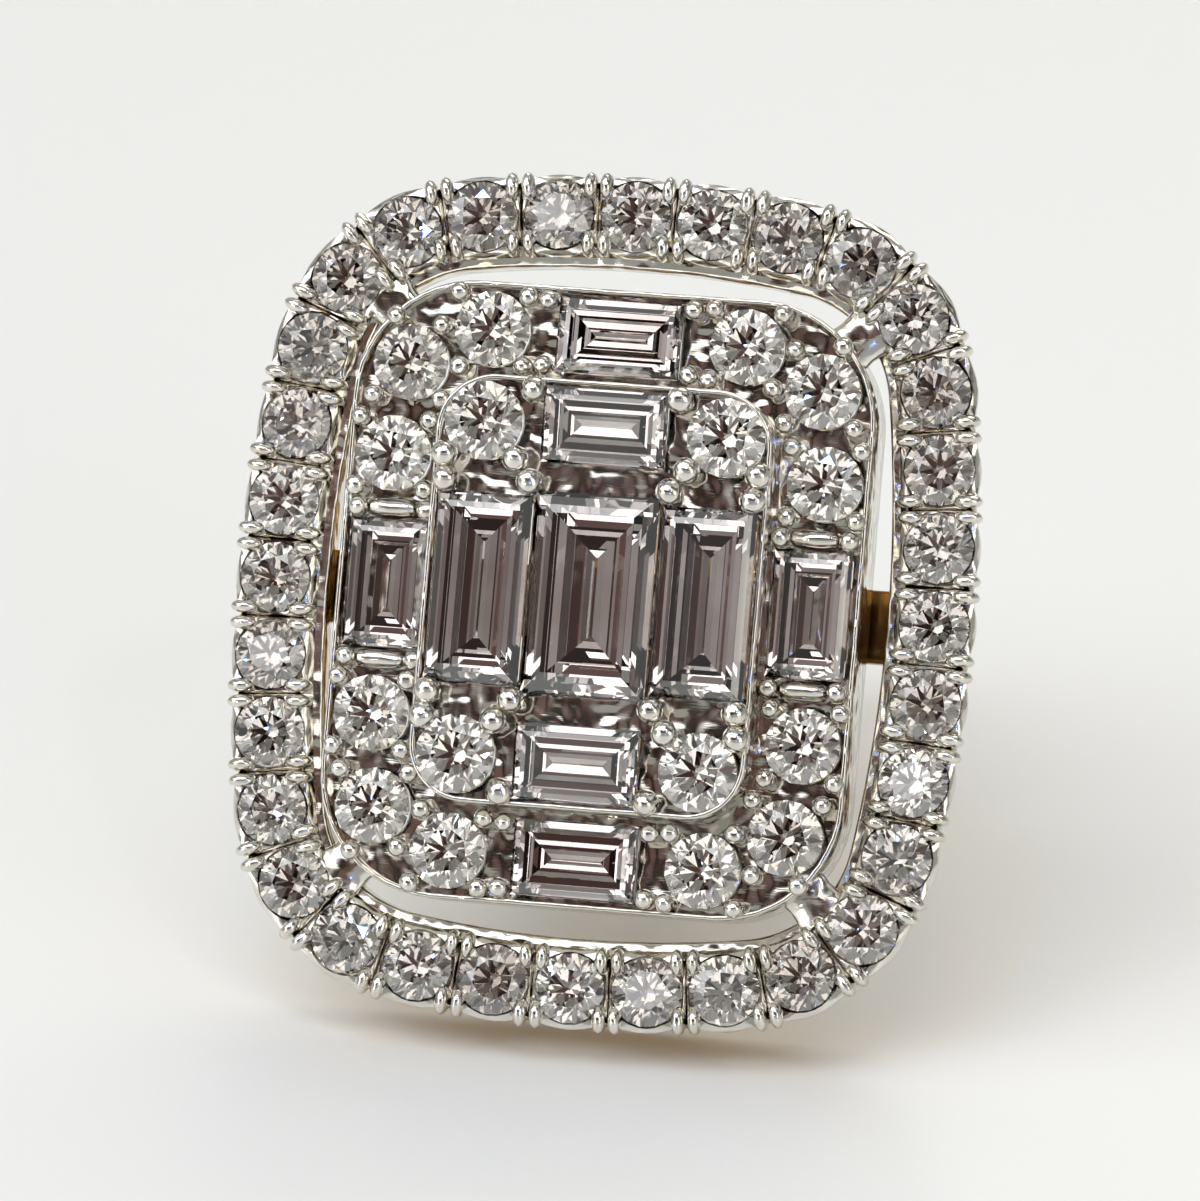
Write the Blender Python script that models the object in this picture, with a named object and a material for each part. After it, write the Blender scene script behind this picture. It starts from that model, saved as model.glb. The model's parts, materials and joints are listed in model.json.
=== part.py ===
"""Two-tone cluster stud earring, lying as it rests on a table: metres, +Z up.

The pieces are modelled in the face's own frame: x to the right, y up the face, z out of
the front, with z = 0 on the halo's top. The whole then leans back as far as its lower
rail and the two scrolls of its back allow, and stands with its lowest point on z = 0.
"""
import math

import bmesh
import bpy
import numpy as np
from mathutils import Vector

MM = 0.001
TURN = 2 * math.pi
HAIR = 0.0001 * MM

# Sides and steps of the round pieces
BEAD_SIDES = 6
HOLE_SIDES = 10
POST_SIDES = 16
PLATE_SIDES = 24
CORNER_STEPS = 6
WALL_STEPS = 64
BRIDGE_STEPS = 4
STEPS_PER_PAVE = 2

# Centre stones: each tier has baguettes on its middle lines and rounds at its corners
CENTRE_WIDTH = 2.05 * MM
CENTRE_HEIGHT = 3.30 * MM
SIDE_WIDTH = 1.58 * MM
SIDE_HEIGHT = 3.10 * MM
ROW_WIDTH = 2.05 * MM
ROW_HEIGHT = 1.25 * MM
OUTER_ROW_WIDTH = 2.05 * MM
OUTER_ROW_HEIGHT = 1.25 * MM
OUTER_SIDE_WIDTH = 1.32 * MM
OUTER_SIDE_HEIGHT = 2.10 * MM
INNER_ROUND = 1.30 * MM
OUTER_ROUND = 1.25 * MM
ROUNDS_PER_CORNER = 3

# Spaces between the centre stones, and from them to the edges of their tiers
SIDE_SPACE = 0.045 * MM
ROW_SPACE = 0.475 * MM
TIER_MARGIN = 0.12 * MM
TIER_CORNER_R = 0.95 * MM
OUTER_SIDE_SPACE = 0.07 * MM
OUTER_ROW_SPACE = 0.16 * MM
END_SPACE = 0.46 * MM
TRAY_MARGIN = 0.16 * MM
ROUND_MARGIN = 0.12 * MM
TRAY_CORNER_R = 2.0 * MM

# Tray: two steps with thin rims, prongs and a hole behind each stone; z from the halo's top
TRAY_DEPTH = 0.75 * MM
OUTER_GIRDLE = 0.62 * MM
INNER_GIRDLE = 1.30 * MM
RIM_WALL = 0.08 * MM
RIM_ABOVE_GIRDLE = 0.03 * MM
SEAT_BELOW_GIRDLE = 0.16 * MM
SEAT_LEDGE = 0.05 * MM
STONE_GAP = 0.04 * MM
PRONG_R = 0.14 * MM
PRONG_ABOVE_GIRDLE = 0.20 * MM
PRONG_IN_SEAT = 0.10 * MM
PRONG_TRY_STEP = math.radians(8)
PRONG_TRIES = 6
DOME_SHARE = 0.55
SOLDER_GAP = 0.04 * MM

# Bars that carry the tray in the halo: thick beside the tray, thin over the gallery's ledge
CORNER_BAR_WIDTH = 0.95 * MM
CORNER_BAR_TURN = math.radians(45)
BAR_STEP = 0.05 * MM
BAR_IN_TRAY = 0.30 * MM
BAR_ABOVE_SOLDER = 0.055 * MM
BAR_FOOT_RISE = 0.075 * MM

# Halo: a band of pavé round the tray, with a gap between them
PAVE_DIAMETER = 1.16 * MM
PAVE_SPACE = 0.11 * MM
PAVE_MARGIN = 0.095 * MM
PAVE_TABLE = 0.17 * MM
PAVE_GIRDLE = 0.04 * MM
HALO_SIDE_GAP = 0.48 * MM
HALO_END_GAP = 0.60 * MM
HALO_SIDE_R = 26.0 * MM
HALO_END_R = 20.0 * MM
HALO_CORNER_R = 3.4 * MM
HALO_DEPTH = 0.28 * MM
HALO_UNDERCUT = 0.10 * MM
SCALLOP = 0.07 * MM
BEAD_R = 0.17 * MM
BEAD_HEIGHT = 0.17 * MM
BEAD_FROM_EDGE = 0.22 * MM
BEAD_ROOT = 0.17 * MM

# Shares of a round stone's radius, and of a baguette's width, that give its cut
ROUND_TABLE_SHARE = 0.57
ROUND_CROWN_SHARE = 0.31
ROUND_STAR_SHARE = 0.76
ROUND_PAVILION_SHARE = 0.86
ROUND_LOWER_SHARE = 0.24
GIRDLE_HALF = 0.02 * MM
BAGUETTE_STEPS = (
    # inset and height, as shares of the stone's shorter side
    (0.240, 0.190),
    (0.110, 0.130),
    (0.000, 0.016),
    (0.000, -0.016),
    (0.190, -0.210),
    (0.440, -0.370),
)

# Gallery: the yellow wall under the halo, pierced by eight slots
GALLERY_INSET = 0.12 * MM
GALLERY_LEDGE = 0.15 * MM
GALLERY_TOP_HEIGHT = 0.62 * MM
SLOT_HEIGHT = 0.36 * MM
RAIL_HEIGHT = 0.35 * MM
RAIL_WIDTH = 0.60 * MM
BRIDGE_LENGTH = 1.6 * MM
SIDE_SLOT_LENGTH = 2.4 * MM
END_SLOT_LENGTH = 2.0 * MM
CROSSBAR_WIDTH = 1.2 * MM
CROSSBAR_DEPTH = 0.5 * MM
FACE_STEP = 0.01 * MM

# Post and butterfly back
POST_DIAMETER = 0.9 * MM
POST_TIP_FROM_FACE = 13.4 * MM
POST_ROUNDING = 0.2 * MM
POST_TIP = (
    # share of the post's radius, share of POST_ROUNDING from the tip
    (1.00, 1.00),
    (0.87, 0.35),
    (0.60, 0.00),
)
POST_CLEARANCE = 0.05 * MM
PLATE_FROM_FACE = 7.9 * MM
PLATE_LENGTH = 6.05 * MM
PLATE_IN_ARMS = 0.03 * MM
ARM_DIP = 0.045 * MM
SHEET = 0.3 * MM
SCROLL_WIDTH = 2.5 * MM
SCROLL_LENGTH = 4.2 * MM
SCROLL_SPAN = 4.56 * MM
SHOULDER_R = 0.45 * MM
CURL_GAP = 0.42 * MM
CURL_FROM_PLATE = 1.35 * MM
CURL_TAIL = 0.9 * MM
PLATE_PROFILE = (
    # share of the way from the hole's edge to the rim, share of PLATE_DISH behind the rim
    (0.00, 1.00),
    (0.16, 0.55),
    (0.34, 0.10),
    (0.62, 0.38),
    (1.00, 0.00),
)
PLATE_DISH = 0.42 * MM

# Sizes that follow: the two steps, the outlines round them and the heights of the gallery
SIDE_X = CENTRE_WIDTH / 2 + SIDE_SPACE + SIDE_WIDTH / 2
ROW_Y = CENTRE_HEIGHT / 2 + ROW_SPACE + ROW_HEIGHT / 2
TIER_WIDTH = 2 * (SIDE_X + SIDE_WIDTH / 2 + TIER_MARGIN)
TIER_HEIGHT = 2 * (ROW_Y + ROW_HEIGHT / 2 + TIER_MARGIN)
OUTER_X = TIER_WIDTH / 2 + OUTER_SIDE_SPACE + OUTER_SIDE_WIDTH / 2
OUTER_Y = TIER_HEIGHT / 2 + OUTER_ROW_SPACE + OUTER_ROW_HEIGHT / 2
TRAY_WIDTH = 2 * (OUTER_X + OUTER_SIDE_WIDTH / 2 + TRAY_MARGIN)
TRAY_HEIGHT = 2 * (OUTER_Y + OUTER_ROW_HEIGHT / 2 + TRAY_MARGIN)
BAND = PAVE_DIAMETER + 2 * PAVE_MARGIN
HALO_WIDTH = TRAY_WIDTH + 2 * (HALO_SIDE_GAP + BAND)
HALO_HEIGHT = TRAY_HEIGHT + 2 * (HALO_END_GAP + BAND)
GALLERY_TOP = -HALO_DEPTH - SOLDER_GAP
SLOT_TOP = GALLERY_TOP - GALLERY_TOP_HEIGHT
RAIL_TOP = SLOT_TOP - SLOT_HEIGHT
RAIL_BACK = RAIL_TOP - RAIL_HEIGHT
PLATE_WIDTH = SCROLL_SPAN - 2 * PLATE_IN_ARMS

CORNERS = (("top_right", 1, 1), ("top_left", -1, 1), ("low_left", -1, -1), ("low_right", 1, -1))

FINISHES = {
    # colour, roughness, metallic, transmission
    "white_gold": ((0.78, 0.77, 0.75), 0.16, 1.0, 0.0),
    "yellow_gold": ((0.80, 0.62, 0.30), 0.18, 1.0, 0.0),
    "diamond": ((0.93, 0.93, 0.95), 0.02, 0.0, 0.9),
}


def clear_scene():
    """Start from an empty scene."""
    for thing in list(bpy.data.objects):
        bpy.data.objects.remove(thing, do_unlink=True)


def finish(slot):
    """The Principled material of one slot, made once."""
    if slot in bpy.data.materials:
        return bpy.data.materials[slot]
    colour, roughness, metallic, transmission = FINISHES[slot]
    material = bpy.data.materials.new(slot)
    material.use_nodes = True
    shader = material.node_tree.nodes["Principled BSDF"]
    shader.inputs["Base Color"].default_value = (*colour, 1.0)
    shader.inputs["Roughness"].default_value = roughness
    shader.inputs["Metallic"].default_value = metallic
    shader.inputs["Transmission Weight"].default_value = transmission
    return material


def piece(name, points, faces, slot=None):
    """A closed mesh object with its faces turned outwards."""
    mesh = bpy.data.meshes.new(name)
    mesh.from_pydata([tuple(map(float, p)) for p in points], [], faces)
    work = bmesh.new()
    work.from_mesh(mesh)
    bmesh.ops.recalc_face_normals(work, faces=work.faces)
    work.to_mesh(mesh)
    work.free()
    obj = bpy.data.objects.new(name, mesh)
    bpy.context.scene.collection.objects.link(obj)
    if slot:
        mesh.materials.append(finish(slot))
    return obj


def loft(name, rings, slot=None, closed=False):
    """Skin over rings of equally many points: capped, or closed into a loop."""
    count = len(rings[0])
    points = np.concatenate([np.asarray(ring, float) for ring in rings])
    faces = []
    steps = len(rings) if closed else len(rings) - 1
    for r in range(steps):
        a = r * count
        b = (r + 1) % len(rings) * count
        for i in range(count):
            j = (i + 1) % count
            faces.append((a + i, a + j, b + j, b + i))
    if not closed:
        faces.append(tuple(range(count)))
        last = (len(rings) - 1) * count
        faces.append(tuple(last + i for i in range(count)))
    return piece(name, points, faces, slot)


def prism(name, outline, z_low, z_high, slot=None):
    """A straight block over an outline in x and y."""
    rings = [[(x, y, z) for x, y in outline] for z in (z_low, z_high)]
    return loft(name, rings, slot)


def box(name, centre, size, z_low, z_high, turn=0.0):
    """A block with its middle at centre, turned by an angle about z."""
    half_x = size[0] / 2
    half_y = size[1] / 2
    c = math.cos(turn)
    s = math.sin(turn)
    corners = ((-half_x, -half_y), (half_x, -half_y), (half_x, half_y), (-half_x, half_y))
    outline = [(centre[0] + c * x - s * y, centre[1] + s * x + c * y) for x, y in corners]
    return prism(name, outline, z_low, z_high)


def merged(name, parts, slot=None):
    """Several helper objects as the shells of one mesh, which a union then fuses."""
    points = []
    faces = []
    for part in parts:
        base = len(points)
        points += [tuple(v.co) for v in part.data.vertices]
        faces += [tuple(base + i for i in p.vertices) for p in part.data.polygons]
        bpy.data.objects.remove(part, do_unlink=True)
    return piece(name, points, faces, slot)


def cut_or_join(target, tool, operation, solver="EXACT"):
    """Apply one Boolean to target, and drop the tool."""
    step = target.modifiers.new(operation.lower(), "BOOLEAN")
    step.operation = operation
    step.solver = solver
    if solver == "EXACT":
        step.use_self = True
    step.object = tool
    tool.hide_render = True
    tool.display_type = "WIRE"
    bpy.context.view_layer.update()
    graph = bpy.context.evaluated_depsgraph_get()
    result = bpy.data.meshes.new_from_object(target.evaluated_get(graph))
    target.modifiers.clear()
    old = target.data
    target.data = result
    bpy.data.meshes.remove(old)
    bpy.data.objects.remove(tool, do_unlink=True)
    return target


def shade_round(obj, degrees=35):
    """Smooth shading, with edges sharper than the angle kept."""
    obj.data.shade_smooth()
    obj.data.set_sharp_from_angle(angle=math.radians(degrees))


class Cushion:
    """A cushion outline of eight arcs: bowed sides and ends, and round corners between.

    Parallel outlines share their centres, so a point and its outward normal give the
    outline at any inset.
    """

    def __init__(self, width, height, side_r, end_r, corner_r):
        self.side = (width / 2 - side_r, side_r)
        self.end = (height / 2 - end_r, end_r)
        a = np.array([self.side[0], 0.0])
        b = np.array([0.0, self.end[0]])
        reach_a = side_r - corner_r
        reach_b = end_r - corner_r
        apart = np.linalg.norm(b - a)
        along = (reach_a ** 2 - reach_b ** 2 + apart ** 2) / (2 * apart)
        aside = math.sqrt(reach_a ** 2 - along ** 2)
        step = (b - a) / apart
        middle = a + along * step
        choices = [middle + aside * s * np.array([step[1], -step[0]]) for s in (1, -1)]
        self.corner = max(choices, key=lambda p: p[0] + p[1])
        self.corner_r = corner_r
        self.turn_a = math.atan2(self.corner[1], self.corner[0] - self.side[0])
        self.turn_b = math.atan2(self.corner[1] - self.end[0], self.corner[0])

    def quarter(self, inset):
        """Arcs of the first quarter at an inset: centre, radius, first and last angle."""
        return (
            ((self.side[0], 0.0), self.side[1] - inset, 0.0, self.turn_a),
            (tuple(self.corner), self.corner_r - inset, self.turn_a, self.turn_b),
            ((0.0, self.end[0]), self.end[1] - inset, self.turn_b, math.pi / 2),
        )

    def length(self, inset):
        """Length of the whole outline at an inset."""
        return 4 * sum(r * (b - a) for _, r, a, b in self.quarter(inset))

    def at(self, way, inset):
        """Point and outward normal a given way round, from the middle of the right side."""
        total = self.length(inset)
        way = way % total
        quarter = int(way // (total / 4)) % 4
        rest = way - quarter * total / 4
        if quarter % 2:
            rest = total / 4 - rest
        for centre, radius, first, last in self.quarter(inset):
            span = radius * (last - first)
            if rest <= span + HAIR:
                angle = first + rest / radius
                break
            rest -= span
        normal = np.array([math.cos(angle), math.sin(angle)])
        point = np.array(centre) + radius * normal
        flip = CORNERS[quarter][1:]
        return point * flip, normal * flip


def rounded_rectangle(width, height, radius):
    """Outline of a rectangle with round corners."""
    outline = []
    for k, (_, sx, sy) in enumerate(CORNERS):
        centre = (sx * (width / 2 - radius), sy * (height / 2 - radius))
        for i in range(CORNER_STEPS + 1):
            angle = (k + i / CORNER_STEPS) * math.pi / 2
            outline.append((centre[0] + radius * math.cos(angle), centre[1] + radius * math.sin(angle)))
    return outline


def polygon(centre, radius, sides, phase=0.5):
    """Outline of a regular polygon."""
    angles = [(i + phase) * TURN / sides for i in range(sides)]
    return [(centre[0] + radius * math.cos(a), centre[1] + radius * math.sin(a)) for a in angles]


def stud(name, centre, radius, z_low, z_top):
    """A small post with a faceted dome, as a bead or a prong."""
    sides = BEAD_SIDES
    shoulder = z_top - DOME_SHARE * radius
    base = polygon(centre, radius, sides)
    ring = [(x, y, z_low) for x, y in base]
    upper = [(x, y, shoulder) for x, y in base]
    points = ring + upper + [(centre[0], centre[1], z_top)]
    faces = [tuple(range(sides))]
    for i in range(sides):
        j = (i + 1) % sides
        faces.append((i, j, sides + j, sides + i))
        faces.append((sides + i, sides + j, 2 * sides))
    return piece(name, points, faces)


HALO = Cushion(HALO_WIDTH, HALO_HEIGHT, HALO_SIDE_R, HALO_END_R, HALO_CORNER_R)
PAVE_LINE = BAND / 2
PAVE_COUNT = 2 * int(HALO.length(PAVE_LINE) / (2 * (PAVE_DIAMETER + PAVE_SPACE)))


def round_places():
    """Centres of one corner's outer rounds, evenly spaced along a line round the tray."""
    inset = ROUND_MARGIN + OUTER_ROUND / 2
    half_x = TRAY_WIDTH / 2 - inset
    half_y = OUTER_Y
    radius = TRAY_CORNER_R - inset
    top = half_x - radius
    bend = radius * math.pi / 2
    whole = top + bend + half_y - radius
    first = OUTER_ROW_WIDTH / 2 + END_SPACE + OUTER_ROUND / 2
    last = whole - OUTER_SIDE_HEIGHT / 2 - END_SPACE - OUTER_ROUND / 2
    places = []
    for way in np.linspace(first, last, ROUNDS_PER_CORNER):
        if way <= top:
            places.append((way, half_y))
        elif way <= top + bend:
            angle = math.pi / 2 - (way - top) / radius
            places.append((top + radius * math.cos(angle), half_y - radius + radius * math.sin(angle)))
        else:
            places.append((half_x, whole - way))
    return places


def stone_rows():
    """Every centre stone: name, x, y, width, height, girdle height and whether it is round."""
    inner = INNER_GIRDLE
    outer = OUTER_GIRDLE
    rows = [
        ("centre", 0, 0, CENTRE_WIDTH, CENTRE_HEIGHT, inner, False),
        ("inner_left", -SIDE_X, 0, SIDE_WIDTH, SIDE_HEIGHT, inner, False),
        ("inner_right", SIDE_X, 0, SIDE_WIDTH, SIDE_HEIGHT, inner, False),
        ("inner_top", 0, ROW_Y, ROW_WIDTH, ROW_HEIGHT, inner, False),
        ("inner_bottom", 0, -ROW_Y, ROW_WIDTH, ROW_HEIGHT, inner, False),
        ("outer_top", 0, OUTER_Y, OUTER_ROW_WIDTH, OUTER_ROW_HEIGHT, outer, False),
        ("outer_bottom", 0, -OUTER_Y, OUTER_ROW_WIDTH, OUTER_ROW_HEIGHT, outer, False),
        ("outer_left", -OUTER_X, 0, OUTER_SIDE_WIDTH, OUTER_SIDE_HEIGHT, outer, False),
        ("outer_right", OUTER_X, 0, OUTER_SIDE_WIDTH, OUTER_SIDE_HEIGHT, outer, False),
    ]
    inset = TIER_MARGIN + INNER_ROUND / 2
    for corner, sx, sy in CORNERS:
        x = sx * (TIER_WIDTH / 2 - inset)
        y = sy * (TIER_HEIGHT / 2 - inset)
        rows.append((f"inner_round_{corner}", x, y, INNER_ROUND, INNER_ROUND, inner, True))
        for letter, (x, y) in zip("abcdef", round_places()):
            spot = (sx * x, sy * y)
            rows.append((f"round_{letter}_{corner}", *spot, OUTER_ROUND, OUTER_ROUND, outer, True))
    return rows


def brilliant(name, centre, diameter, girdle):
    """A round brilliant: table, stars, kites, girdle facets, pavilion halves and mains."""
    r = diameter / 2
    half = GIRDLE_HALF
    crown = ROUND_CROWN_SHARE * r
    pavilion = ROUND_PAVILION_SHARE * r
    narrow = math.cos(TURN / 16)
    table_r = ROUND_TABLE_SHARE * r
    star_r = ROUND_STAR_SHARE * r
    low_r = ROUND_LOWER_SHARE * r
    star_z = half + crown * (1 - ROUND_STAR_SHARE * narrow) / (1 - ROUND_TABLE_SHARE)
    low_z = -half - pavilion * (1 - ROUND_LOWER_SHARE * narrow)

    def ring(radius, z, count, phase):
        spots = polygon(centre, radius, count, phase)
        return [(x, y, girdle + z) for x, y in spots]

    points = ring(table_r, half + crown, 8, 0)
    points += ring(star_r, star_z, 8, 0.5)
    points += ring(r, half, 16, 0)
    points += ring(r, -half, 16, 0)
    points += ring(low_r, low_z, 8, 0.5)
    points.append((centre[0], centre[1], girdle - half - pavilion))
    table, star, upper, lower, inner, culet = 0, 8, 16, 32, 48, 56
    faces = [tuple(range(8))]
    for k in range(8):
        n = (k + 1) % 8
        before = (k - 1) % 8
        left = upper + (2 * k + 1) % 16
        right = upper + (2 * k + 2) % 16
        faces.append((table + k, table + n, star + k))
        faces.append((table + k, star + k, upper + 2 * k, star + before))
        faces.append((star + k, upper + 2 * k, left))
        faces.append((star + k, left, right))
        faces.append((inner + k, lower + 2 * k, lower + (2 * k + 1) % 16))
        faces.append((inner + k, lower + (2 * k + 1) % 16, lower + (2 * k + 2) % 16))
        faces.append((culet, inner + k, lower + 2 * k, inner + before))
    for k in range(16):
        n = (k + 1) % 16
        faces.append((upper + k, upper + n, lower + n, lower + k))
    return piece(name, points, faces, "diamond")


def baguette(name, centre, width, height, girdle):
    """A step-cut bar: table, two crown steps, girdle, two pavilion steps and a narrow keel."""
    short = min(width, height)
    rings = []
    for inset, z in BAGUETTE_STEPS:
        half_x = width / 2 - inset * short
        half_y = height / 2 - inset * short
        corners = ((-half_x, -half_y), (half_x, -half_y), (half_x, half_y), (-half_x, half_y))
        rings.append([(centre[0] + x, centre[1] + y, girdle + z * short) for x, y in corners])
    return loft(name, rings, "diamond")


def centre_stones():
    """The stones of both tiers, each an object of its own."""
    made = []
    for name, x, y, width, height, girdle, is_round in stone_rows():
        if is_round:
            made.append(brilliant(f"stone_{name}", (x, y), width, girdle))
        else:
            made.append(baguette(f"stone_{name}", (x, y), width, height, girdle))
    return made


def halo_ring():
    """The halo's white band, with a scalloped edge that swells at each stone."""
    line = PAVE_LINE
    steps = PAVE_COUNT * STEPS_PER_PAVE
    rings = []
    for i in range(steps):
        point, normal = HALO.at(i / steps * HALO.length(line), line)
        edge = SCALLOP * (0.5 - 0.5 * math.cos(TURN * i / STEPS_PER_PAVE))
        section = (
            (edge, 0.0),
            (edge, -HALO_DEPTH / 2),
            (HALO_UNDERCUT, -HALO_DEPTH),
            (BAND, -HALO_DEPTH),
            (BAND - edge, 0.0),
        )
        ring = []
        for inset, z in section:
            spot = point + normal * (line - inset)
            ring.append((spot[0], spot[1], z))
        rings.append(ring)
    return loft("head", rings, "white_gold", closed=True)


def pave_crowns():
    """Crowns of the halo's stones: a table and eight facets each."""
    line = PAVE_LINE
    total = HALO.length(line)
    sections = ((1.0, -HALO_DEPTH / 2), (1.0, PAVE_GIRDLE), (ROUND_TABLE_SHARE, PAVE_TABLE))
    facets = 8
    made = []
    for i in range(PAVE_COUNT):
        (x, y), normal = HALO.at(i / PAVE_COUNT * total, line)
        facing = math.atan2(normal[1], normal[0]) * facets / TURN
        rings = []
        for share, z in sections:
            outline = polygon((x, y), share * PAVE_DIAMETER / 2, facets, facing + 0.5)
            rings.append([(px, py, z) for px, py in outline])
        made.append(loft("crown", rings))
    return merged("crowns", made)


def pave_beads():
    """The beads at both edges of the band, between every two stones."""
    line = PAVE_LINE
    total = HALO.length(line)
    made = []
    for i in range(PAVE_COUNT):
        point, normal = HALO.at((i + 0.5) / PAVE_COUNT * total, line)
        for side in (line - BEAD_FROM_EDGE, BEAD_FROM_EDGE - line):
            spot = point + normal * side
            made.append(stud("bead", tuple(spot), BEAD_R, -BEAD_ROOT, BEAD_HEIGHT))
    return merged("beads", made)


def tray():
    """The stepped tray: two tiers with thin rims, and a hole behind every stone."""
    low = -TRAY_DEPTH
    body = prism(
        "tray",
        rounded_rectangle(TRAY_WIDTH, TRAY_HEIGHT, TRAY_CORNER_R),
        low,
        OUTER_GIRDLE + RIM_ABOVE_GIRDLE,
    )
    hollow = prism(
        "hollow",
        rounded_rectangle(TRAY_WIDTH - 2 * RIM_WALL, TRAY_HEIGHT - 2 * RIM_WALL, TRAY_CORNER_R - RIM_WALL),
        OUTER_GIRDLE - SEAT_BELOW_GIRDLE,
        2 * OUTER_GIRDLE,
    )
    cut_or_join(body, hollow, "DIFFERENCE")
    step = prism(
        "step",
        rounded_rectangle(TIER_WIDTH, TIER_HEIGHT, TIER_CORNER_R),
        low + TRAY_DEPTH / 2,
        INNER_GIRDLE + RIM_ABOVE_GIRDLE,
    )
    cut_or_join(body, step, "UNION")
    hollow = prism(
        "hollow",
        rounded_rectangle(TIER_WIDTH - 2 * RIM_WALL, TIER_HEIGHT - 2 * RIM_WALL, TIER_CORNER_R - RIM_WALL),
        INNER_GIRDLE - SEAT_BELOW_GIRDLE,
        2 * INNER_GIRDLE,
    )
    cut_or_join(body, hollow, "DIFFERENCE")
    cuts = []
    for name, x, y, width, height, girdle, is_round in stone_rows():
        if is_round:
            outline = polygon((x, y), width / 2 - SEAT_LEDGE, HOLE_SIDES)
            cuts.append(prism("hole", outline, 2 * low, 2 * INNER_GIRDLE))
        else:
            size = (width - 2 * SEAT_LEDGE, height - 2 * SEAT_LEDGE)
            cuts.append(box("hole", (x, y), size, 2 * low, 2 * INNER_GIRDLE))
    return cut_or_join(body, merged("holes", cuts), "DIFFERENCE")


def distance_to_stone(spot, row):
    """How far a point in plan lies outside a stone's girdle."""
    _, x, y, width, height, _, is_round = row
    dx = abs(spot[0] - x)
    dy = abs(spot[1] - y)
    if is_round:
        return math.hypot(dx, dy) - width / 2
    return math.hypot(max(dx - width / 2, 0), max(dy - height / 2, 0))


def inside(spot, width, height, radius, margin):
    """Whether a point lies inside a rounded rectangle by a margin."""
    dx = max(abs(spot[0]) - (width / 2 - radius), 0)
    dy = max(abs(spot[1]) - (height / 2 - radius), 0)
    return math.hypot(dx, dy) <= radius - margin


def prong_allowed(spot, row, rows):
    """A prong clears every stone, and stands on its own tier's metal."""
    need = PRONG_R + STONE_GAP
    if any(distance_to_stone(spot, other) < need for other in rows):
        return False
    if row[5] == INNER_GIRDLE:
        return inside(spot, TIER_WIDTH, TIER_HEIGHT, TIER_CORNER_R, 0.5 * PRONG_R)
    on_tray = inside(spot, TRAY_WIDTH, TRAY_HEIGHT, TRAY_CORNER_R, 0.5 * PRONG_R)
    return on_tray and not inside(spot, TIER_WIDTH, TIER_HEIGHT, TIER_CORNER_R, -PRONG_R)


def prong_choices(row):
    """Wished places of a stone's prongs, each with the other places to try."""
    _, x, y, width, height, _, is_round = row
    reach = PRONG_R + STONE_GAP + HAIR
    if is_round:
        far = width / 2 + reach
        for quarter in range(4):
            tries = []
            for k in range(PRONG_TRIES):
                for side in (1, -1):
                    angle = (quarter + 0.5) * math.pi / 2 + side * k * PRONG_TRY_STEP
                    tries.append((x + far * math.cos(angle), y + far * math.sin(angle)))
            yield tries
        return
    upright = height > width
    for _, sx, sy in CORNERS:
        slant = reach * math.sqrt(0.5)
        tries = [(x + sx * (width / 2 + slant), y + sy * (height / 2 + slant))]
        for share in (0.85, 0.6):
            if upright:
                tries.append((x + sx * share * width / 2, y + sy * (height / 2 + reach)))
            else:
                tries.append((x + sx * (width / 2 + reach), y + sy * share * height / 2))
        yield tries


def prongs():
    """The prongs of the centre, shared where two would stand in one another."""
    rows = stone_rows()
    stood = []
    made = []
    for row in rows:
        for tries in prong_choices(row):
            for spot in tries:
                if not prong_allowed(spot, row, rows):
                    continue
                if all(math.dist(spot, other) > 2 * PRONG_R + FACE_STEP for other in stood):
                    stood.append(spot)
                    foot = row[5] - SEAT_BELOW_GIRDLE - PRONG_IN_SEAT
                    made.append(stud("prong", spot, PRONG_R, foot, row[5] + PRONG_ABOVE_GIRDLE))
                break
    return merged("prongs", made)


def corner_bars():
    """The bars that carry the tray in the halo, one at each corner."""
    tray_corner = np.array([TRAY_WIDTH / 2 - TRAY_CORNER_R, TRAY_HEIGHT / 2 - TRAY_CORNER_R])
    out = np.array([math.cos(CORNER_BAR_TURN), math.sin(CORNER_BAR_TURN)])
    start = tray_corner + out * (TRAY_CORNER_R - BAR_IN_TRAY)
    ledge_r = HALO_CORNER_R - BAND - GALLERY_LEDGE
    thin = CORNER_BAR_WIDTH - 2 * BAR_STEP
    steps = (
        # where it ends, width, lower and upper height
        (HALO_CORNER_R - BAND / 2, CORNER_BAR_WIDTH, BAR_ABOVE_SOLDER - HALO_DEPTH, -BAR_STEP),
        (ledge_r - 2 * SOLDER_GAP, thin, BAR_FOOT_RISE - TRAY_DEPTH, -2 * BAR_STEP),
    )
    made = []
    for _, sx, sy in CORNERS:
        turn = math.atan2(out[1] * sy, out[0] * sx)
        for end_r, width, z_low, z_high in steps:
            reach = np.dot(HALO.corner + out * end_r - start, out)
            middle = (start + out * reach / 2) * (sx, sy)
            made.append(box("bar", middle, (reach, width), z_low, z_high, turn))
    return merged("bars", made)


def head():
    """White gold: halo with its pavé, tray with its prongs, and the bars between them."""
    body = halo_ring()
    cut_or_join(body, tray(), "UNION")
    cut_or_join(body, corner_bars(), "UNION")
    for studded in (prongs(), pave_crowns(), pave_beads()):
        cut_or_join(body, studded, "UNION", "MANIFOLD")
    return body


def wall_ring(name, inset_out, inset_in, z_low, z_high, slot=None):
    """A closed band between two insets of the halo's outline."""
    rings = []
    for i in range(WALL_STEPS):
        point, normal = HALO.at((i + 0.5) / WALL_STEPS * HALO.length(BAND), BAND)
        ring = []
        for inset, z in ((inset_out, z_low), (inset_out, z_high), (inset_in, z_high), (inset_in, z_low)):
            spot = point + normal * (BAND - inset)
            ring.append((spot[0], spot[1], z))
        rings.append(ring)
    return loft(name, rings, slot, closed=True)


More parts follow.
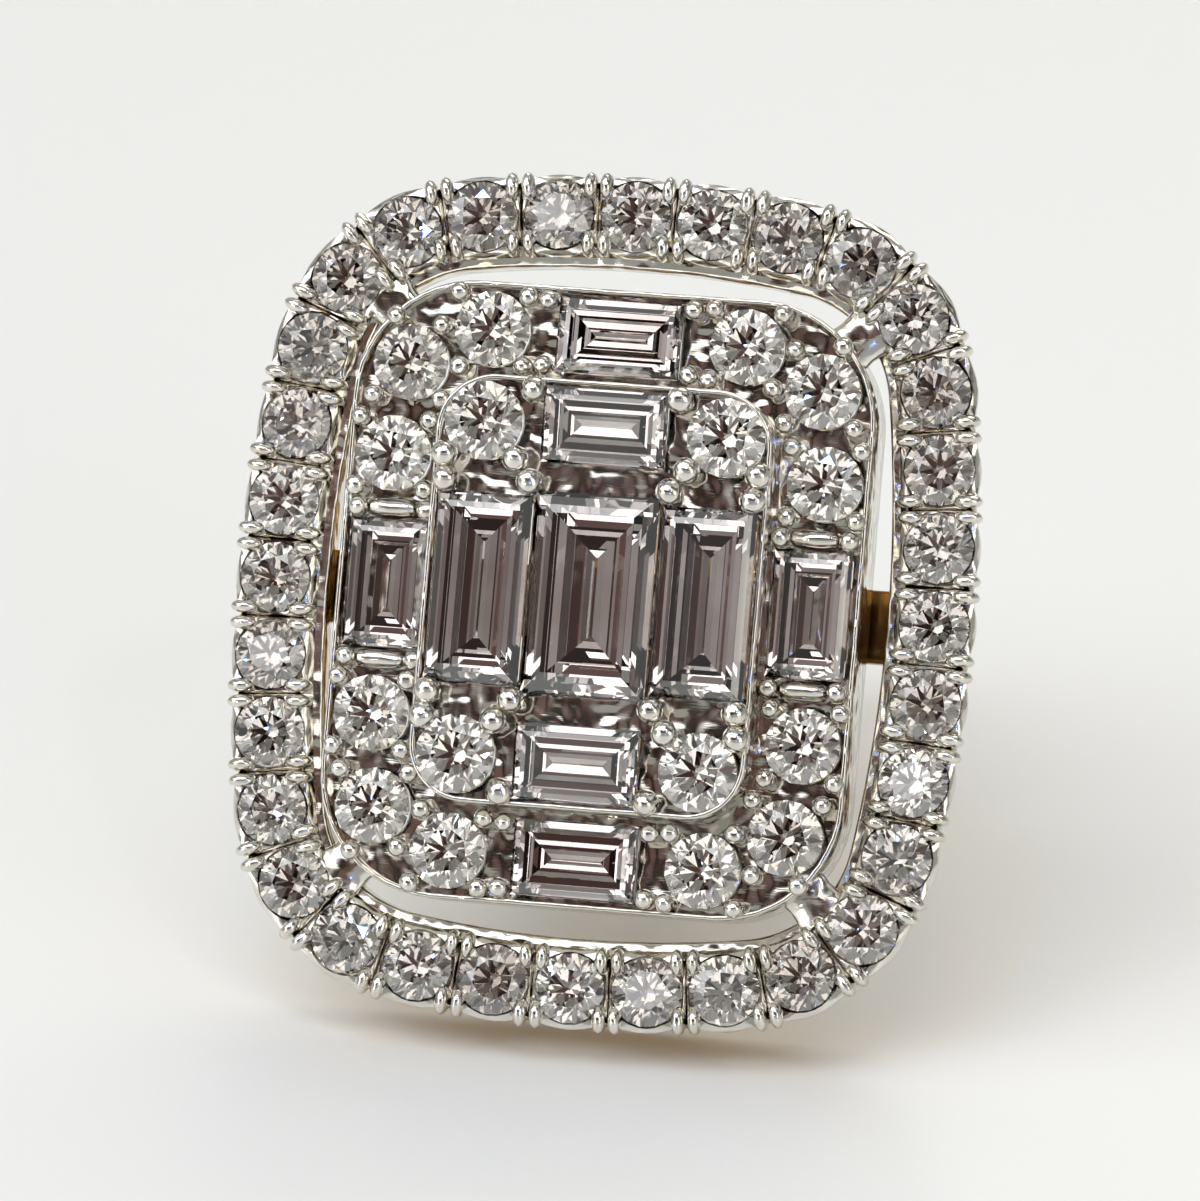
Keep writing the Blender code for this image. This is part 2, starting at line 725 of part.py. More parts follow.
def slot_bridges():
    """Ways round the outline of the eight bridges' middles, from the slots' lengths."""
    quarter = HALO.length(GALLERY_INSET) / 4
    side = SIDE_SLOT_LENGTH / 2 + BRIDGE_LENGTH / 2
    end = quarter - END_SLOT_LENGTH / 2 - BRIDGE_LENGTH / 2
    return [way for k in (0, 2) for way in (
        k * quarter + side,
        k * quarter + end,
        (k + 2) * quarter - end,
        (k + 2) * quarter - side,
    )]


def gallery():
    """Yellow gold: the wall under the halo, its bridges and rail, the crossbar and the post."""
    inner = BAND + GALLERY_LEDGE
    body = wall_ring("gallery", GALLERY_INSET, inner, SLOT_TOP, GALLERY_TOP, slot="yellow_gold")
    rail_in = GALLERY_INSET + RAIL_WIDTH
    cut_or_join(body, wall_ring("rail", GALLERY_INSET, rail_in, RAIL_BACK, RAIL_TOP), "UNION")
    low = RAIL_TOP - RAIL_HEIGHT / 2
    high = SLOT_TOP + GALLERY_TOP_HEIGHT / 2
    deep = RAIL_WIDTH - FACE_STEP
    links = []
    for way in slot_bridges():
        rings = []
        for k in range(BRIDGE_STEPS + 1):
            along = way + (k / BRIDGE_STEPS - 0.5) * BRIDGE_LENGTH
            point, normal = HALO.at(along, GALLERY_INSET)
            ring = []
            for back, z in ((FACE_STEP, low), (FACE_STEP, high), (deep, high), (deep, low)):
                spot = point - normal * back
                ring.append((spot[0], spot[1], z))
            rings.append(ring)
        links.append(loft("bridge", rings))
    cut_or_join(body, merged("bridges", links), "UNION")
    size = (HALO_WIDTH - 2 * GALLERY_INSET - RAIL_WIDTH, CROSSBAR_WIDTH)
    bar = box("crossbar", (0, 0), size, RAIL_BACK + 2 * FACE_STEP, RAIL_BACK + CROSSBAR_DEPTH)
    cut_or_join(body, bar, "UNION")
    tip = [(share, rounding * POST_ROUNDING - POST_TIP_FROM_FACE) for share, rounding in POST_TIP]
    rings = []
    for share, z in [(1.0, RAIL_BACK + CROSSBAR_DEPTH / 2)] + tip:
        outline = polygon((0, 0), share * POST_DIAMETER / 2, POST_SIDES)
        rings.append([(x, y, z) for x, y in outline])
    return cut_or_join(body, loft("post", rings), "UNION")


def scroll_path(side):
    """Middle line of one arm: over the plate's edge, back, round and forward, and curled in."""
    half = SHEET / 2
    outer = SCROLL_SPAN / 2 - half
    inner = POST_DIAMETER / 2 + POST_CLEARANCE + half
    turn_r = (outer - inner) / 2
    curl_r = (outer - inner - SHEET - CURL_GAP) / 2
    root = -PLATE_FROM_FACE - half
    back = root + half - SCROLL_LENGTH + half
    curl = root - CURL_FROM_PLATE
    path = [(outer - 2 * SHOULDER_R, root - ARM_DIP)]
    arcs = (
        # centre x, centre z, radius, first and last angle, steps
        (outer - SHOULDER_R, root - SHOULDER_R, SHOULDER_R, 90, 0, 4),
        (outer - turn_r, back + turn_r, turn_r, 0, -180, 10),
        (inner + curl_r, curl - curl_r, curl_r, 180, 0, 6),
    )
    for cx, cz, radius, first, last, steps in arcs:
        for i in range(steps + 1):
            angle = math.radians(first + (last - first) * i / steps)
            path.append((cx + radius * math.cos(angle), cz + radius * math.sin(angle)))
    path.append((inner + 2 * curl_r, curl - curl_r - CURL_TAIL))
    return [(side * x, z) for x, z in path]


def arm(side):
    """One arm of the back: the scroll's path given the sheet's thickness and width."""
    path = np.array(scroll_path(side))
    run = np.gradient(path, axis=0)
    run /= np.linalg.norm(run, axis=1)[:, None]
    across = np.stack([-run[:, 1], run[:, 0]], axis=1)
    upper = path + across * SHEET / 2
    lower = path - across * SHEET / 2
    outline = np.concatenate([upper, lower[::-1]])
    rings = [[(x, y, z) for x, z in outline] for y in (-SCROLL_WIDTH / 2, SCROLL_WIDTH / 2)]
    return loft("arm", rings)


def butterfly():
    """Yellow gold: a dished oval plate with the post's hole, and two scrolls behind it."""
    hole = POST_DIAMETER / 2 + POST_CLEARANCE
    rings = []
    for back, order in ((0.0, PLATE_PROFILE), (SHEET, PLATE_PROFILE[::-1])):
        for share, dish in order:
            z = -PLATE_FROM_FACE - dish * PLATE_DISH - back
            ring = []
            wide = hole + share * (PLATE_WIDTH / 2 - hole)
            long = hole + share * (PLATE_LENGTH / 2 - hole)
            for i in range(PLATE_SIDES):
                angle = TURN * i / PLATE_SIDES
                ring.append((wide * math.cos(angle), long * math.sin(angle), z))
            rings.append(ring)
    body = loft("butterfly_back", rings, "yellow_gold", closed=True)
    for side in (1, -1):
        cut_or_join(body, arm(side), "UNION")
    return body


def lean():
    """Angle from upright at which the rail and the scrolls both touch the table."""
    rail_low = HALO_HEIGHT / 2 - GALLERY_INSET
    scroll_back = PLATE_FROM_FACE + SCROLL_LENGTH
    return math.atan2(rail_low - SCROLL_WIDTH / 2, scroll_back + RAIL_BACK)


def place(pieces, back):
    """Lean the earring back on its two supports, over the origin, lowest point at z = 0."""
    rest = bpy.data.objects.new("rest", None)
    bpy.context.scene.collection.objects.link(rest)
    rest.rotation_euler = (math.pi / 2 - lean(), 0, 0)
    slide = bpy.data.objects.new("slide_on_post", None)
    bpy.context.scene.collection.objects.link(slide)
    slide.parent = rest
    slide.location = (0, 0, -PLATE_FROM_FACE)
    for vertex in back.data.vertices:
        vertex.co.z += PLATE_FROM_FACE
    back.parent = slide
    for obj in pieces:
        obj.parent = rest
    bpy.context.view_layer.update()
    corners = []
    for obj in pieces + [back]:
        corners += [obj.matrix_world @ vertex.co for vertex in obj.data.vertices]
    spots = np.array([tuple(c) for c in corners])
    low = spots.min(axis=0)
    high = spots.max(axis=0)
    rest.location = Vector((-(low[0] + high[0]) / 2, -(low[1] + high[1]) / 2, -low[2]))


def main():
    clear_scene()
    pieces = [head(), gallery()] + centre_stones()
    back = butterfly()
    for obj in (pieces[1], back):
        shade_round(obj)
    place(pieces, back)


main()
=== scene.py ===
# %% [markdown]
# # A two-tone cluster stud, dressed
# The solids of the earring come in as a fixed frame, the right size and in the right place,
# so this lesson only has to give them the surfaces that the eye looks for: drilled and beaded
# pave, ball prongs, cut stones, polished gold. Most pieces are grids of points worked out
# with numpy. Each one stands for a solid and rides on its body, so the joint still moves it.

# %% Load the solids
import json
import math

import bmesh
import bpy
import numpy as np
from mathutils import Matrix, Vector
from mathutils.geometry import tessellate_polygon


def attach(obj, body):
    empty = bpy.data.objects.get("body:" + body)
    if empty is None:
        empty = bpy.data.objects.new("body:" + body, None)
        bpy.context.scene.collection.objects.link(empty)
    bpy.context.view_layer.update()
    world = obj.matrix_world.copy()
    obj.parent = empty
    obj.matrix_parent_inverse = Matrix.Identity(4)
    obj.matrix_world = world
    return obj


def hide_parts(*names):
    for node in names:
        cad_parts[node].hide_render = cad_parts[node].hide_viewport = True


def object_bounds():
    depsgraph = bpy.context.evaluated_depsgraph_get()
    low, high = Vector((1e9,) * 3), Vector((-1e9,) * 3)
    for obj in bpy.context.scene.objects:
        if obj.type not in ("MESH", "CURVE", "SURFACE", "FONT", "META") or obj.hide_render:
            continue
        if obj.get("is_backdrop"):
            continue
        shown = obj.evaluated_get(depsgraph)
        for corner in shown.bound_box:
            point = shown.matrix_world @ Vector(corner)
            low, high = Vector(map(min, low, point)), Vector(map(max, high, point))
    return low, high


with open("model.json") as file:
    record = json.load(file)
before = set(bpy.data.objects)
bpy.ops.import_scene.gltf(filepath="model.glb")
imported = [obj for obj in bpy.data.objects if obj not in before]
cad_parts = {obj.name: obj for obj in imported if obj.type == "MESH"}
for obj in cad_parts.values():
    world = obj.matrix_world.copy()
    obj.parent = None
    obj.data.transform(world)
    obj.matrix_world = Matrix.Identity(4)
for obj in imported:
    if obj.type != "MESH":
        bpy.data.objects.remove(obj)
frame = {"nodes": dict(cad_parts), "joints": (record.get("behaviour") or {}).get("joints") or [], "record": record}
cad_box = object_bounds()

# %% [markdown]
# ## The frame of the face
# The stud leans back on the table, so its own directions are slanted: x runs to the right,
# y up the face and z out of its front. The joint's axis and the mount at the post's end fix
# them. All sizes below are millimetres in this frame, until a mesh is made in world metres.

# %% Directions and origin of the face, in millimetres
POST_END = 13.4
TURN = 2 * math.pi
BACK = np.array(frame["joints"][0]["axis"], float)
mounts = {mount["name"]: mount for mount in frame["record"]["mounts"]}
RIGHT = np.array([1.0, 0.0, 0.0])
UP = np.cross(-BACK, RIGHT)
FACE = np.stack([RIGHT, UP, -BACK])
ORIGIN = 1000 * np.array(mounts["post_end"]["pos_m"]) - POST_END * BACK


def to_world(points):
    """Face millimetres to world metres: origin + x right + y up + z front."""
    return (ORIGIN + points @ FACE) / 1000


def to_face(points):
    """World metres to face millimetres, the same turn undone."""
    return (1000 * points - ORIGIN) @ FACE.T


def corners_of(node):
    """All the points of a solid, in face millimetres."""
    mesh = frame["nodes"][node].data
    flat = np.empty(3 * len(mesh.vertices))
    mesh.vertices.foreach_get("co", flat)
    return to_face(flat.reshape(-1, 3))


print("lean of the face, degrees:", round(math.degrees(math.asin(-BACK[2])), 2))

# %% [markdown]
# ## Where the stones sit
# The centre holds 25 stones in two tiers. Each one is a solid, so its place, size and girdle
# height are measured and not typed again. The girdle is the widest line of a cut stone.

# %% Measure the centre stones
# One row for each stone: node, x, y, width, height, girdle, is_round
STONES = []
for node in sorted(frame["nodes"]):
    if not node.startswith("stone_"):
        continue
    points = corners_of(node)
    low = points.min(axis=0)
    high = points.max(axis=0)
    x, y = (low[:2] + high[:2]) / 2
    width, height = high[:2] - low[:2]
    widest = np.abs(points[:, 0] - x) > 0.499 * width
    girdle = points[widest, 2].mean()
    STONES.append((node, x, y, width, height, girdle, "round" in node))
HIGH_GIRDLE = max(stone[5] for stone in STONES)
LOW_GIRDLE = min(stone[5] for stone in STONES)
INNER = [stone for stone in STONES if stone[5] > (HIGH_GIRDLE + LOW_GIRDLE) / 2]
OUTER = [stone for stone in STONES if stone not in INNER]
print("stones:", len(INNER), "above,", len(OUTER), "below")
print("girdles, mm:", round(HIGH_GIRDLE, 2), round(LOW_GIRDLE, 2))

# %% [markdown]
# ## Outlines of the setting
# The halo is a cushion: bowed sides and ends with round corners between. Outlines at any
# inset share the arcs' centres, so one function gives them all. Along each arc the normal
# turns at a steady rate, so a plain interpolation over the way gone finds its angle.

# %% The halo's cushion outline
SIDE_R = 26.0
END_R = 20.0
CORNER_R = 3.4
head_points = corners_of("head")
HALO_W = 2 * head_points[:, 0].max()
HALO_H = 2 * head_points[:, 1].max()
side_centre = np.array([HALO_W / 2 - SIDE_R, 0.0])
end_centre = np.array([0.0, HALO_H / 2 - END_R])
apart = np.linalg.norm(end_centre - side_centre)
reach_side = SIDE_R - CORNER_R
reach_end = END_R - CORNER_R
along = (reach_side ** 2 - reach_end ** 2 + apart ** 2) / (2 * apart)
aside = math.sqrt(reach_side ** 2 - along ** 2)
step = (end_centre - side_centre) / apart
# Of the two places where circles round both centres meet, the one in the first quarter
corner_centre = side_centre + along * step + aside * np.array([-step[1], step[0]])
TURN_A = math.atan2(corner_centre[1], corner_centre[0] - side_centre[0])
TURN_B = math.atan2(corner_centre[1] - end_centre[1], corner_centre[0])
ARC_CENTRES = np.stack([side_centre, corner_centre, end_centre])
ARC_RADII = np.array([SIDE_R, CORNER_R, END_R])
ARC_TURNS = np.array([0.0, TURN_A, TURN_B, TURN / 4])
QUARTER_SIGNS = np.array([[1, 1], [-1, 1], [-1, -1], [1, -1]])


def on_circle(angle):
    """Points of the unit circle: (cos a, sin a)."""
    return np.stack([np.cos(angle), np.sin(angle)], axis=-1)


def arc_ways(inset):
    """Lengths gone at the ends of a quarter's three arcs: radius times turn, summed."""
    return np.concatenate([[0.0], np.cumsum((ARC_RADII - inset) * np.diff(ARC_TURNS))])


def halo_length(inset):
    """The whole way round the cushion at an inset."""
    return 4 * arc_ways(inset)[-1]


def halo_at(way, inset):
    """Points and normals at ways round the cushion: centre + (radius - inset) * normal."""
    ways = arc_ways(inset)
    way = np.asarray(way, float) % (4 * ways[-1])
    quarter = np.minimum((way // ways[-1]).astype(int), 3)
    rest = way - quarter * ways[-1]
    rest = np.where(quarter % 2 == 1, ways[-1] - rest, rest)
    turn = np.interp(rest, ways, ARC_TURNS)
    arc = np.clip(np.searchsorted(ways, rest, side="right") - 1, 0, 2)
    normal = on_circle(turn)
    point = ARC_CENTRES[arc] + (ARC_RADII[arc] - inset)[..., None] * normal
    signs = QUARTER_SIGNS[quarter]
    return point * signs, normal * signs


print("halo:", round(HALO_W, 2), "x", round(HALO_H, 2), "mm, way round", round(halo_length(0), 1))

# %% [markdown]
# ## Small tools for grids
# Every surface here is a grid: rows of points that quads join. A sweep carries a small
# section round an outline, and a lathe turns a profile. A row that closes up into one point
# gives triangles once doubled points are merged, so poles and caps need no code of their own.

# %% Grids, sweeps and lathes


def quads(rows, columns, round_rows=False, round_columns=True):
    """Corner numbers of the quads of a grid, as an array with four columns."""
    r, c = np.meshgrid(
        np.arange(rows if round_rows else rows - 1),
        np.arange(columns if round_columns else columns - 1),
        indexing="ij",
    )
    r_next = (r + 1) % rows
    c_next = (c + 1) % columns
    corners = (r * columns + c, r * columns + c_next, r_next * columns + c_next, r_next * columns + c)
    return np.stack(corners, axis=-1).reshape(-1, 4)


def shell(grid, round_rows=False, round_columns=True):
    """One or many grids (last axes: rows, columns, xyz) as points and faces."""
    rows, columns = grid.shape[-3:-1]
    grids = grid.reshape(-1, rows * columns, 3)
    faces = quads(rows, columns, round_rows, round_columns)
    starts = np.arange(len(grids))[:, None, None] * rows * columns
    return grids.reshape(-1, 3), (faces + starts).reshape(-1, 4)


def with_z(flat, z):
    """Points (x, y) with a z each; one z or a row of them serves all rows."""
    z = np.broadcast_to(np.asarray(z)[..., None], flat.shape[:-1] + (1,))
    return np.concatenate([flat, z], axis=-1)


def sweep(section, points, normals):
    """Carry a section of (inset, z) round an outline: point - inset * normal."""
    section = np.asarray(section, float)
    flat = points[:, None, :] - section[None, :, :1] * normals[:, None, :]
    return with_z(flat, section[:, 1])


def lathe(profile, columns):
    """Turn a profile of (radius, z) about z: x = r cos a, y = r sin a."""
    profile = np.asarray(profile, float)
    angle = np.arange(columns) * TURN / columns
    radius = profile[:, :1]
    z = np.broadcast_to(profile[:, 1:], (len(profile), columns))
    return np.stack([radius * np.cos(angle), radius * np.sin(angle), z], axis=-1)


def at_spots(grid, spots):
    """A copy of a grid at each spot (x, y, z)."""
    spots = np.asarray(spots, float)
    return grid[None] + spots.reshape(-1, *[1] * (grid.ndim - 1), 3)


def rounded_box(half_a, half_b, radius, steps=4):
    """Points and normals round a rectangle with round corners, anticlockwise."""
    turn = np.concatenate([np.linspace(k, k + 1, steps + 1) for k in range(4)]) * TURN / 4
    signs = np.repeat(QUARTER_SIGNS, steps + 1, axis=0)
    normals = on_circle(turn)
    return signs * (half_a - radius, half_b - radius) + radius * normals, normals


def oval(half_a, half_b, power, count=24):
    """Between an ellipse and a box: |a / half_a|^power + |b / half_b|^power = 1."""
    angle = np.arange(count) * TURN / count
    c, s = np.cos(angle), np.sin(angle)
    reach = (np.abs(c) ** power + np.abs(s) ** power) ** (-1 / power)
    return np.stack([half_a * reach * c, half_b * reach * s], axis=-1)


# %% [markdown]
# ## Making one piece
# A piece may be several closed shells at once, such as all the beads of the halo. Doubled
# points are merged, faces are turned outwards, and edges sharper than an angle stay crisp.
# Last, the piece is hung on the body that carries it, and the solid it stands for is hidden.

# %% One function that makes a piece
# Points nearer to each other than this become one; in metres, as meshes are
MERGE = 2e-7


def in_scene(name, data):
    """A new object that shows a mesh, a camera or a light."""
    thing = bpy.data.objects.new(name, data)
    bpy.context.scene.collection.objects.link(thing)
    return thing


def add_piece(name, shells, finish, body="earring", stands_for=("head",), slot="white_gold", sharp=40):
    """A mesh object from (points, faces) pairs in face millimetres, riding on its body."""
    starts = np.cumsum([0] + [len(points) for points, _ in shells])
    faces = []
    for start, (_, corners) in zip(starts, shells):
        if isinstance(corners, np.ndarray):
            faces += (corners + start).tolist()
        else:
            faces += [[start + corner for corner in face] for face in corners]
    mesh = bpy.data.meshes.new(name)
    mesh.from_pydata(to_world(np.concatenate([points for points, _ in shells])), [], faces)
    work = bmesh.new()
    work.from_mesh(mesh)
    bmesh.ops.remove_doubles(work, verts=work.verts, dist=MERGE)
    bmesh.ops.dissolve_degenerate(work, edges=work.edges, dist=MERGE)
    bmesh.ops.recalc_face_normals(work, faces=work.faces)
    open_edges = sum(len(edge.link_faces) != 2 for edge in work.edges)
    work.to_mesh(mesh)
    work.free()
    if sharp is None:
        mesh.shade_flat()
    else:
        mesh.shade_smooth()
        mesh.set_sharp_from_angle(angle=math.radians(sharp))
    mesh.materials.append(finish)
    piece = in_scene(name, mesh)
    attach(piece, body)
    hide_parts(*stands_for)
    print(f"{name}: {len(mesh.polygons)} faces, {open_edges} open edges")


# %% [markdown]
# ## Finishes
# Three real materials are all there is. White gold is rhodium plated and polished: nearly
# neutral, with hairlines from the cloth. Yellow gold is a 14 carat alloy, polished where it
# shows, and painted darker behind the tray as shade. Diamond is clear, and stones as small as these hold
# faint clouds. Patterns read Object coordinates, so they stay on the metal.

# %% Colours, nodes and finishes
DIAMOND_IOR = 2.417
# Real hairlines are about 0.005 mm wide; these are 0.42 / 14 = 0.03 mm, so that they show
HAIR_MM = 0.42
HAIR_STRETCH = 14.0
# Hand finishing leaves flats a little wavy. Depths are in metres, and noise uses part of them
WAVE_MM = 0.45
WAVE_DEPTH = 0.00008
HAIR_DEPTH = 0.000004


def linear(code, alpha=1.0):
    """sRGB hex to linear RGBA: the standard curve, channel by channel."""
    value = np.array([int(code[i:i + 2], 16) for i in (1, 3, 5)]) / 255
    value = np.where(value <= 0.04045, value / 12.92, ((value + 0.055) / 1.055) ** 2.4)
    return (*value.tolist(), alpha)


def per_mm(size):
    """Scale of a pattern on Object coordinates whose features are size mm across."""
    return 1000 / size


def add_node(tree, kind, output, inputs, **settings):
    """Add a node and give one of its outputs; an input is a value, or a socket to link."""
    node = tree.nodes.new(kind)
    for key, value in settings.items():
        setattr(node, key, value)
    for key, value in inputs.items():
        if isinstance(value, bpy.types.NodeSocket):
            tree.links.new(value, node.inputs[key])
        else:
            node.inputs[key].default_value = value
    return node.outputs[output]


def new_material(name, inputs):
    """A material with plain values on its shader's own sockets, its nodes and that shader."""
    material = bpy.data.materials.new(name)
    material.use_nodes = True
    tree = material.node_tree
    shader = tree.nodes["Principled BSDF"]
    for key, value in inputs.items():
        shader.inputs[key].default_value = value
    return material, tree, shader


def polished_metal(name, light, dark, smooth, worn, patch_mm, wavy_share):
    """Polished metal: two tones in soft patches, with hairlines and a fine waviness as bump."""
    material, tree, shader = new_material(name, {"Metallic": 1.0})
    where = add_node(tree, "ShaderNodeTexCoord", "Object", {})
    patches = add_node(
        tree, "ShaderNodeTexNoise", "Fac",
        {"Vector": where, "Scale": per_mm(patch_mm), "Detail": 3.0},
    )
    # A Mix node in colour mode has its factor at input 0, its colours at 6 and 7, its result at 2
    colours = {0: patches, 6: linear(dark), 7: linear(light)}
    tone = add_node(tree, "ShaderNodeMix", 2, colours, data_type="RGBA")
    tree.links.new(tone, shader.inputs["Base Color"])
    # Noise hardly leaves the range from 0.3 to 0.7
    rough = add_node(
        tree, "ShaderNodeMapRange", "Result",
        {"Value": patches, "From Min": 0.3, "From Max": 0.7, "To Min": smooth, "To Max": worn},
    )
    tree.links.new(rough, shader.inputs["Roughness"])
    drawn = add_node(
        tree, "ShaderNodeMapping", "Vector",
        {"Vector": where, "Rotation": (0.4, 0.7, 0.9), "Scale": (1.0, HAIR_STRETCH, HAIR_STRETCH)},
    )
    hairs = add_node(
        tree, "ShaderNodeTexNoise", "Fac",
        {"Vector": drawn, "Scale": per_mm(HAIR_MM), "Detail": 2.0},
    )
    waves = add_node(
        tree, "ShaderNodeTexNoise", "Fac",
        {"Vector": where, "Scale": per_mm(WAVE_MM), "Detail": 1.0},
    )
    wavy = add_node(
        tree, "ShaderNodeBump", "Normal",
        {"Height": waves, "Strength": wavy_share, "Distance": WAVE_DEPTH},
    )
    bump = add_node(
        tree, "ShaderNodeBump", "Normal",
        {"Height": hairs, "Strength": 0.25, "Distance": HAIR_DEPTH, "Normal": wavy},
    )
    tree.links.new(bump, shader.inputs["Normal"])
    return material


def clear_stone(name, clean, clouded, cloud_mm):
    """Diamond: clear and sharp, its faint clouds drawn as soft patches of a greyer tone."""
    clear = {"IOR": DIAMOND_IOR, "Roughness": 0.0, "Transmission Weight": 1.0}
    material, tree, shader = new_material(name, clear)
    where = add_node(tree, "ShaderNodeTexCoord", "Object", {})
    clouds = add_node(
        tree, "ShaderNodeTexNoise", "Fac",
        {"Vector": where, "Scale": per_mm(cloud_mm), "Detail": 2.0},
    )
    limits = {"Value": clouds, "From Min": 0.35, "From Max": 0.65}
    spread = add_node(tree, "ShaderNodeMapRange", "Result", limits)
    colours = {0: spread, 6: linear(clean), 7: linear(clouded)}
    tone = add_node(tree, "ShaderNodeMix", 2, colours, data_type="RGBA")
    tree.links.new(tone, shader.inputs["Base Color"])
    return material


# Rhodium plate over white gold: a nearly neutral mirror, warmer in patches where it is thin
RHODIUM = polished_metal("rhodium_plated_white_gold", "#F1EFEA", "#CAC3B4", 0.07, 0.17, 1.1, 1.0)
# 14 carat yellow gold: pale and warm
YELLOW_GOLD = polished_metal("polished_14_carat_gold", "#E3BD7A", "#C69C59", 0.12, 0.24, 1.6, 0.15)
# Behind the tray the gold isn't polished, and its darker tone is painted shade for the shadow it lies in
SHADE_DARKENED_GOLD = polished_metal("gold_darkened_as_painted_shade", "#805E2E", "#5E421F", 0.14, 0.26, 0.9, 0.3)
# Brilliants are near white, the halo's small stones greyer, baguettes faintly brownish
BRILLIANT_DIAMOND = clear_stone("brilliant_cut_diamond", "#ECE8E2", "#C2BBB2", 0.5)
MELEE_DIAMOND = clear_stone("small_brilliant_cut_diamond", "#D6D1CB", "#988F87", 0.9)
BAGUETTE_DIAMOND = clear_stone("step_cut_diamond", "#F3EBE8", "#DDCCC8", 0.8)

# %% [markdown]
# ## The halo's band
# On the real halo each stone sits in a drilled seat, the edge beside it is cut down in a
# shallow U, and a saw line parts one stone's metal from the next. One stone's share of the
# band is a tile: rings of points run from the round seat out to the tile's border, and the
# seat goes on down as a cup. The 32 tiles meet along the saw lines, and a skirt closes the
# band's walls and underside.

# %% The halo's band, from 32 tiles and a skirt
BAND = 1.35
HALO_DEPTH = 0.28
UNDERCUT = 0.10
SCALLOP = 0.09
SAW_LINE = 0.05
SAW_FROM = 0.465
VALLEY = 0.20
VALLEY_POWER = 12
U_CUT = 0.13
SEAT_R = 0.588
SEAT_LIP = 0.04
OUTER_WALL_LOW = -0.18
INNER_WALL_LOW = -0.20
PAVE_DIAMETER = 1.16
PAVE_COUNT = 32
MIDDLE = BAND / 2
PITCH = halo_length(MIDDLE) / PAVE_COUNT
STONE_WAYS = np.arange(PAVE_COUNT)[:, None] * PITCH
ALONG = np.array([-0.5, -SAW_FROM, -0.4, -0.27, -0.12, 0.0, 0.12, 0.27, 0.4, SAW_FROM])
ACROSS = np.array([0.0, 0.1, 0.28, 0.5, 0.72, 0.9])
# Where a tile's rings lie, from its border (1) in to the round seat (0)
RINGS = (1.0, 0.9, 0.5, 0.14, 0.0)
# Radius and z of the cup, which holds the lower half of the stone
CUP = ((0.575, -0.06), (0.50, -0.13), (0.19, -0.52), (0.0, -0.55))
# Inset and z across the underside, which bulges round the points of the stones
KEEL = np.array([
    (UNDERCUT, -HALO_DEPTH), (0.20, -0.30), (0.28, -0.58),
    (1.07, -0.58), (1.15, -0.30), (BAND, -HALO_DEPTH),
])


def edge_inset(u):
    """Scallop of the edges: none at a stone, full between two, deeper at the saw line."""
    wave = SCALLOP * (0.5 - 0.5 * np.cos(TURN * u))
    return wave + SAW_LINE * np.clip((np.abs(u) - SAW_FROM) / (0.5 - SAW_FROM), 0, 1)


def edge_height(u):
    """The U cut beside a stone: lowest at its middle, gone towards the beads."""
    return -U_CUT * (0.5 + 0.5 * np.cos(TURN * np.clip(1.25 * u, -0.5, 0.5)))


def halo_tiles():
    """Ring s of a tile is (1 - s) * seat circle + s * border, and the cup goes on down."""
    long_side, short_side = len(ALONG), len(ACROSS)
    u = np.concatenate([ALONG, np.full(short_side, 0.5), -ALONG, np.full(short_side, -0.5)])
    v = np.concatenate([np.zeros(long_side), ACROSS, np.ones(long_side), 1 - ACROSS])
    on_edge = (v == 0) | (v == 1)
    point, normal = halo_at(STONE_WAYS + u * PITCH, MIDDLE)
    inset = edge_inset(u) + v * (BAND - 2 * edge_inset(u))
    border = point + (MIDDLE - inset)[None, :, None] * normal
    centre, out = halo_at(STONE_WAYS[:, 0], MIDDLE)
    side = np.stack([-out[:, 1], out[:, 0]], axis=-1)
    angle = np.arctan2(MIDDLE - inset, u * PITCH)
    ray = np.cos(angle)[None, :, None] * side[:, None] + np.sin(angle)[None, :, None] * out[:, None]
    rows = []
    for s in RINGS:
        flat = s * border + (1 - s) * (centre[:, None] + SEAT_R * ray)
        # Between two stones the metal falls away at once from the tile's first ring
        valley = s ** VALLEY_POWER * np.where(on_edge, (np.abs(u) == 0.5) * SAW_LINE, VALLEY)
        z = np.where(on_edge, s * s * edge_height(u), 0.0) - valley - (s == 0.0) * SEAT_LIP
        rows.append(with_z(flat, z))
    rows += [with_z(centre[:, None] + radius * ray, z) for radius, z in CUP]
    return shell(np.stack(rows, axis=1))


def halo_skirt():
    """Down the outer wall, across the keel and up the inner wall, at the tiles' ways."""
    ways = (STONE_WAYS + ALONG * PITCH).ravel()
    u = np.tile(ALONG, PAVE_COUNT)
    point, normal = halo_at(ways, MIDDLE)
    edge = edge_inset(u)
    top = edge_height(u) - SAW_LINE * (np.abs(u) == 0.5)
    keel = np.broadcast_to(KEEL, (len(ways), *KEEL.shape))
    wall = np.stack([edge, edge], axis=1)
    inset = np.concatenate([wall, keel[..., 0], BAND - wall], axis=1)
    down = np.stack([top, np.full(len(ways), OUTER_WALL_LOW)], axis=1)
    up = np.stack([np.full(len(ways), INNER_WALL_LOW), top], axis=1)
    z = np.concatenate([down, keel[..., 1], up], axis=1)
    flat = point[:, None] + (MIDDLE - inset)[..., None] * normal[:, None]
    return shell(with_z(flat, z), round_rows=True, round_columns=False)


add_piece("halo_band", [halo_tiles(), halo_skirt()], RHODIUM, sharp=38)

# %% [markdown]
# ## Split beads
# Between every two stones the setter raises a little wall of metal at both edges, splits it
# with a saw and rounds each half over its own stone. That gives 128 small claws, all the same
# dome, stretched across the band.

# %% The split beads of the halo
BEAD_ALONG = 0.120
BEAD_ACROSS = 0.235
BEAD_TOP = 0.190
BEAD_IN = 0.205
BEAD_APART = 0.134
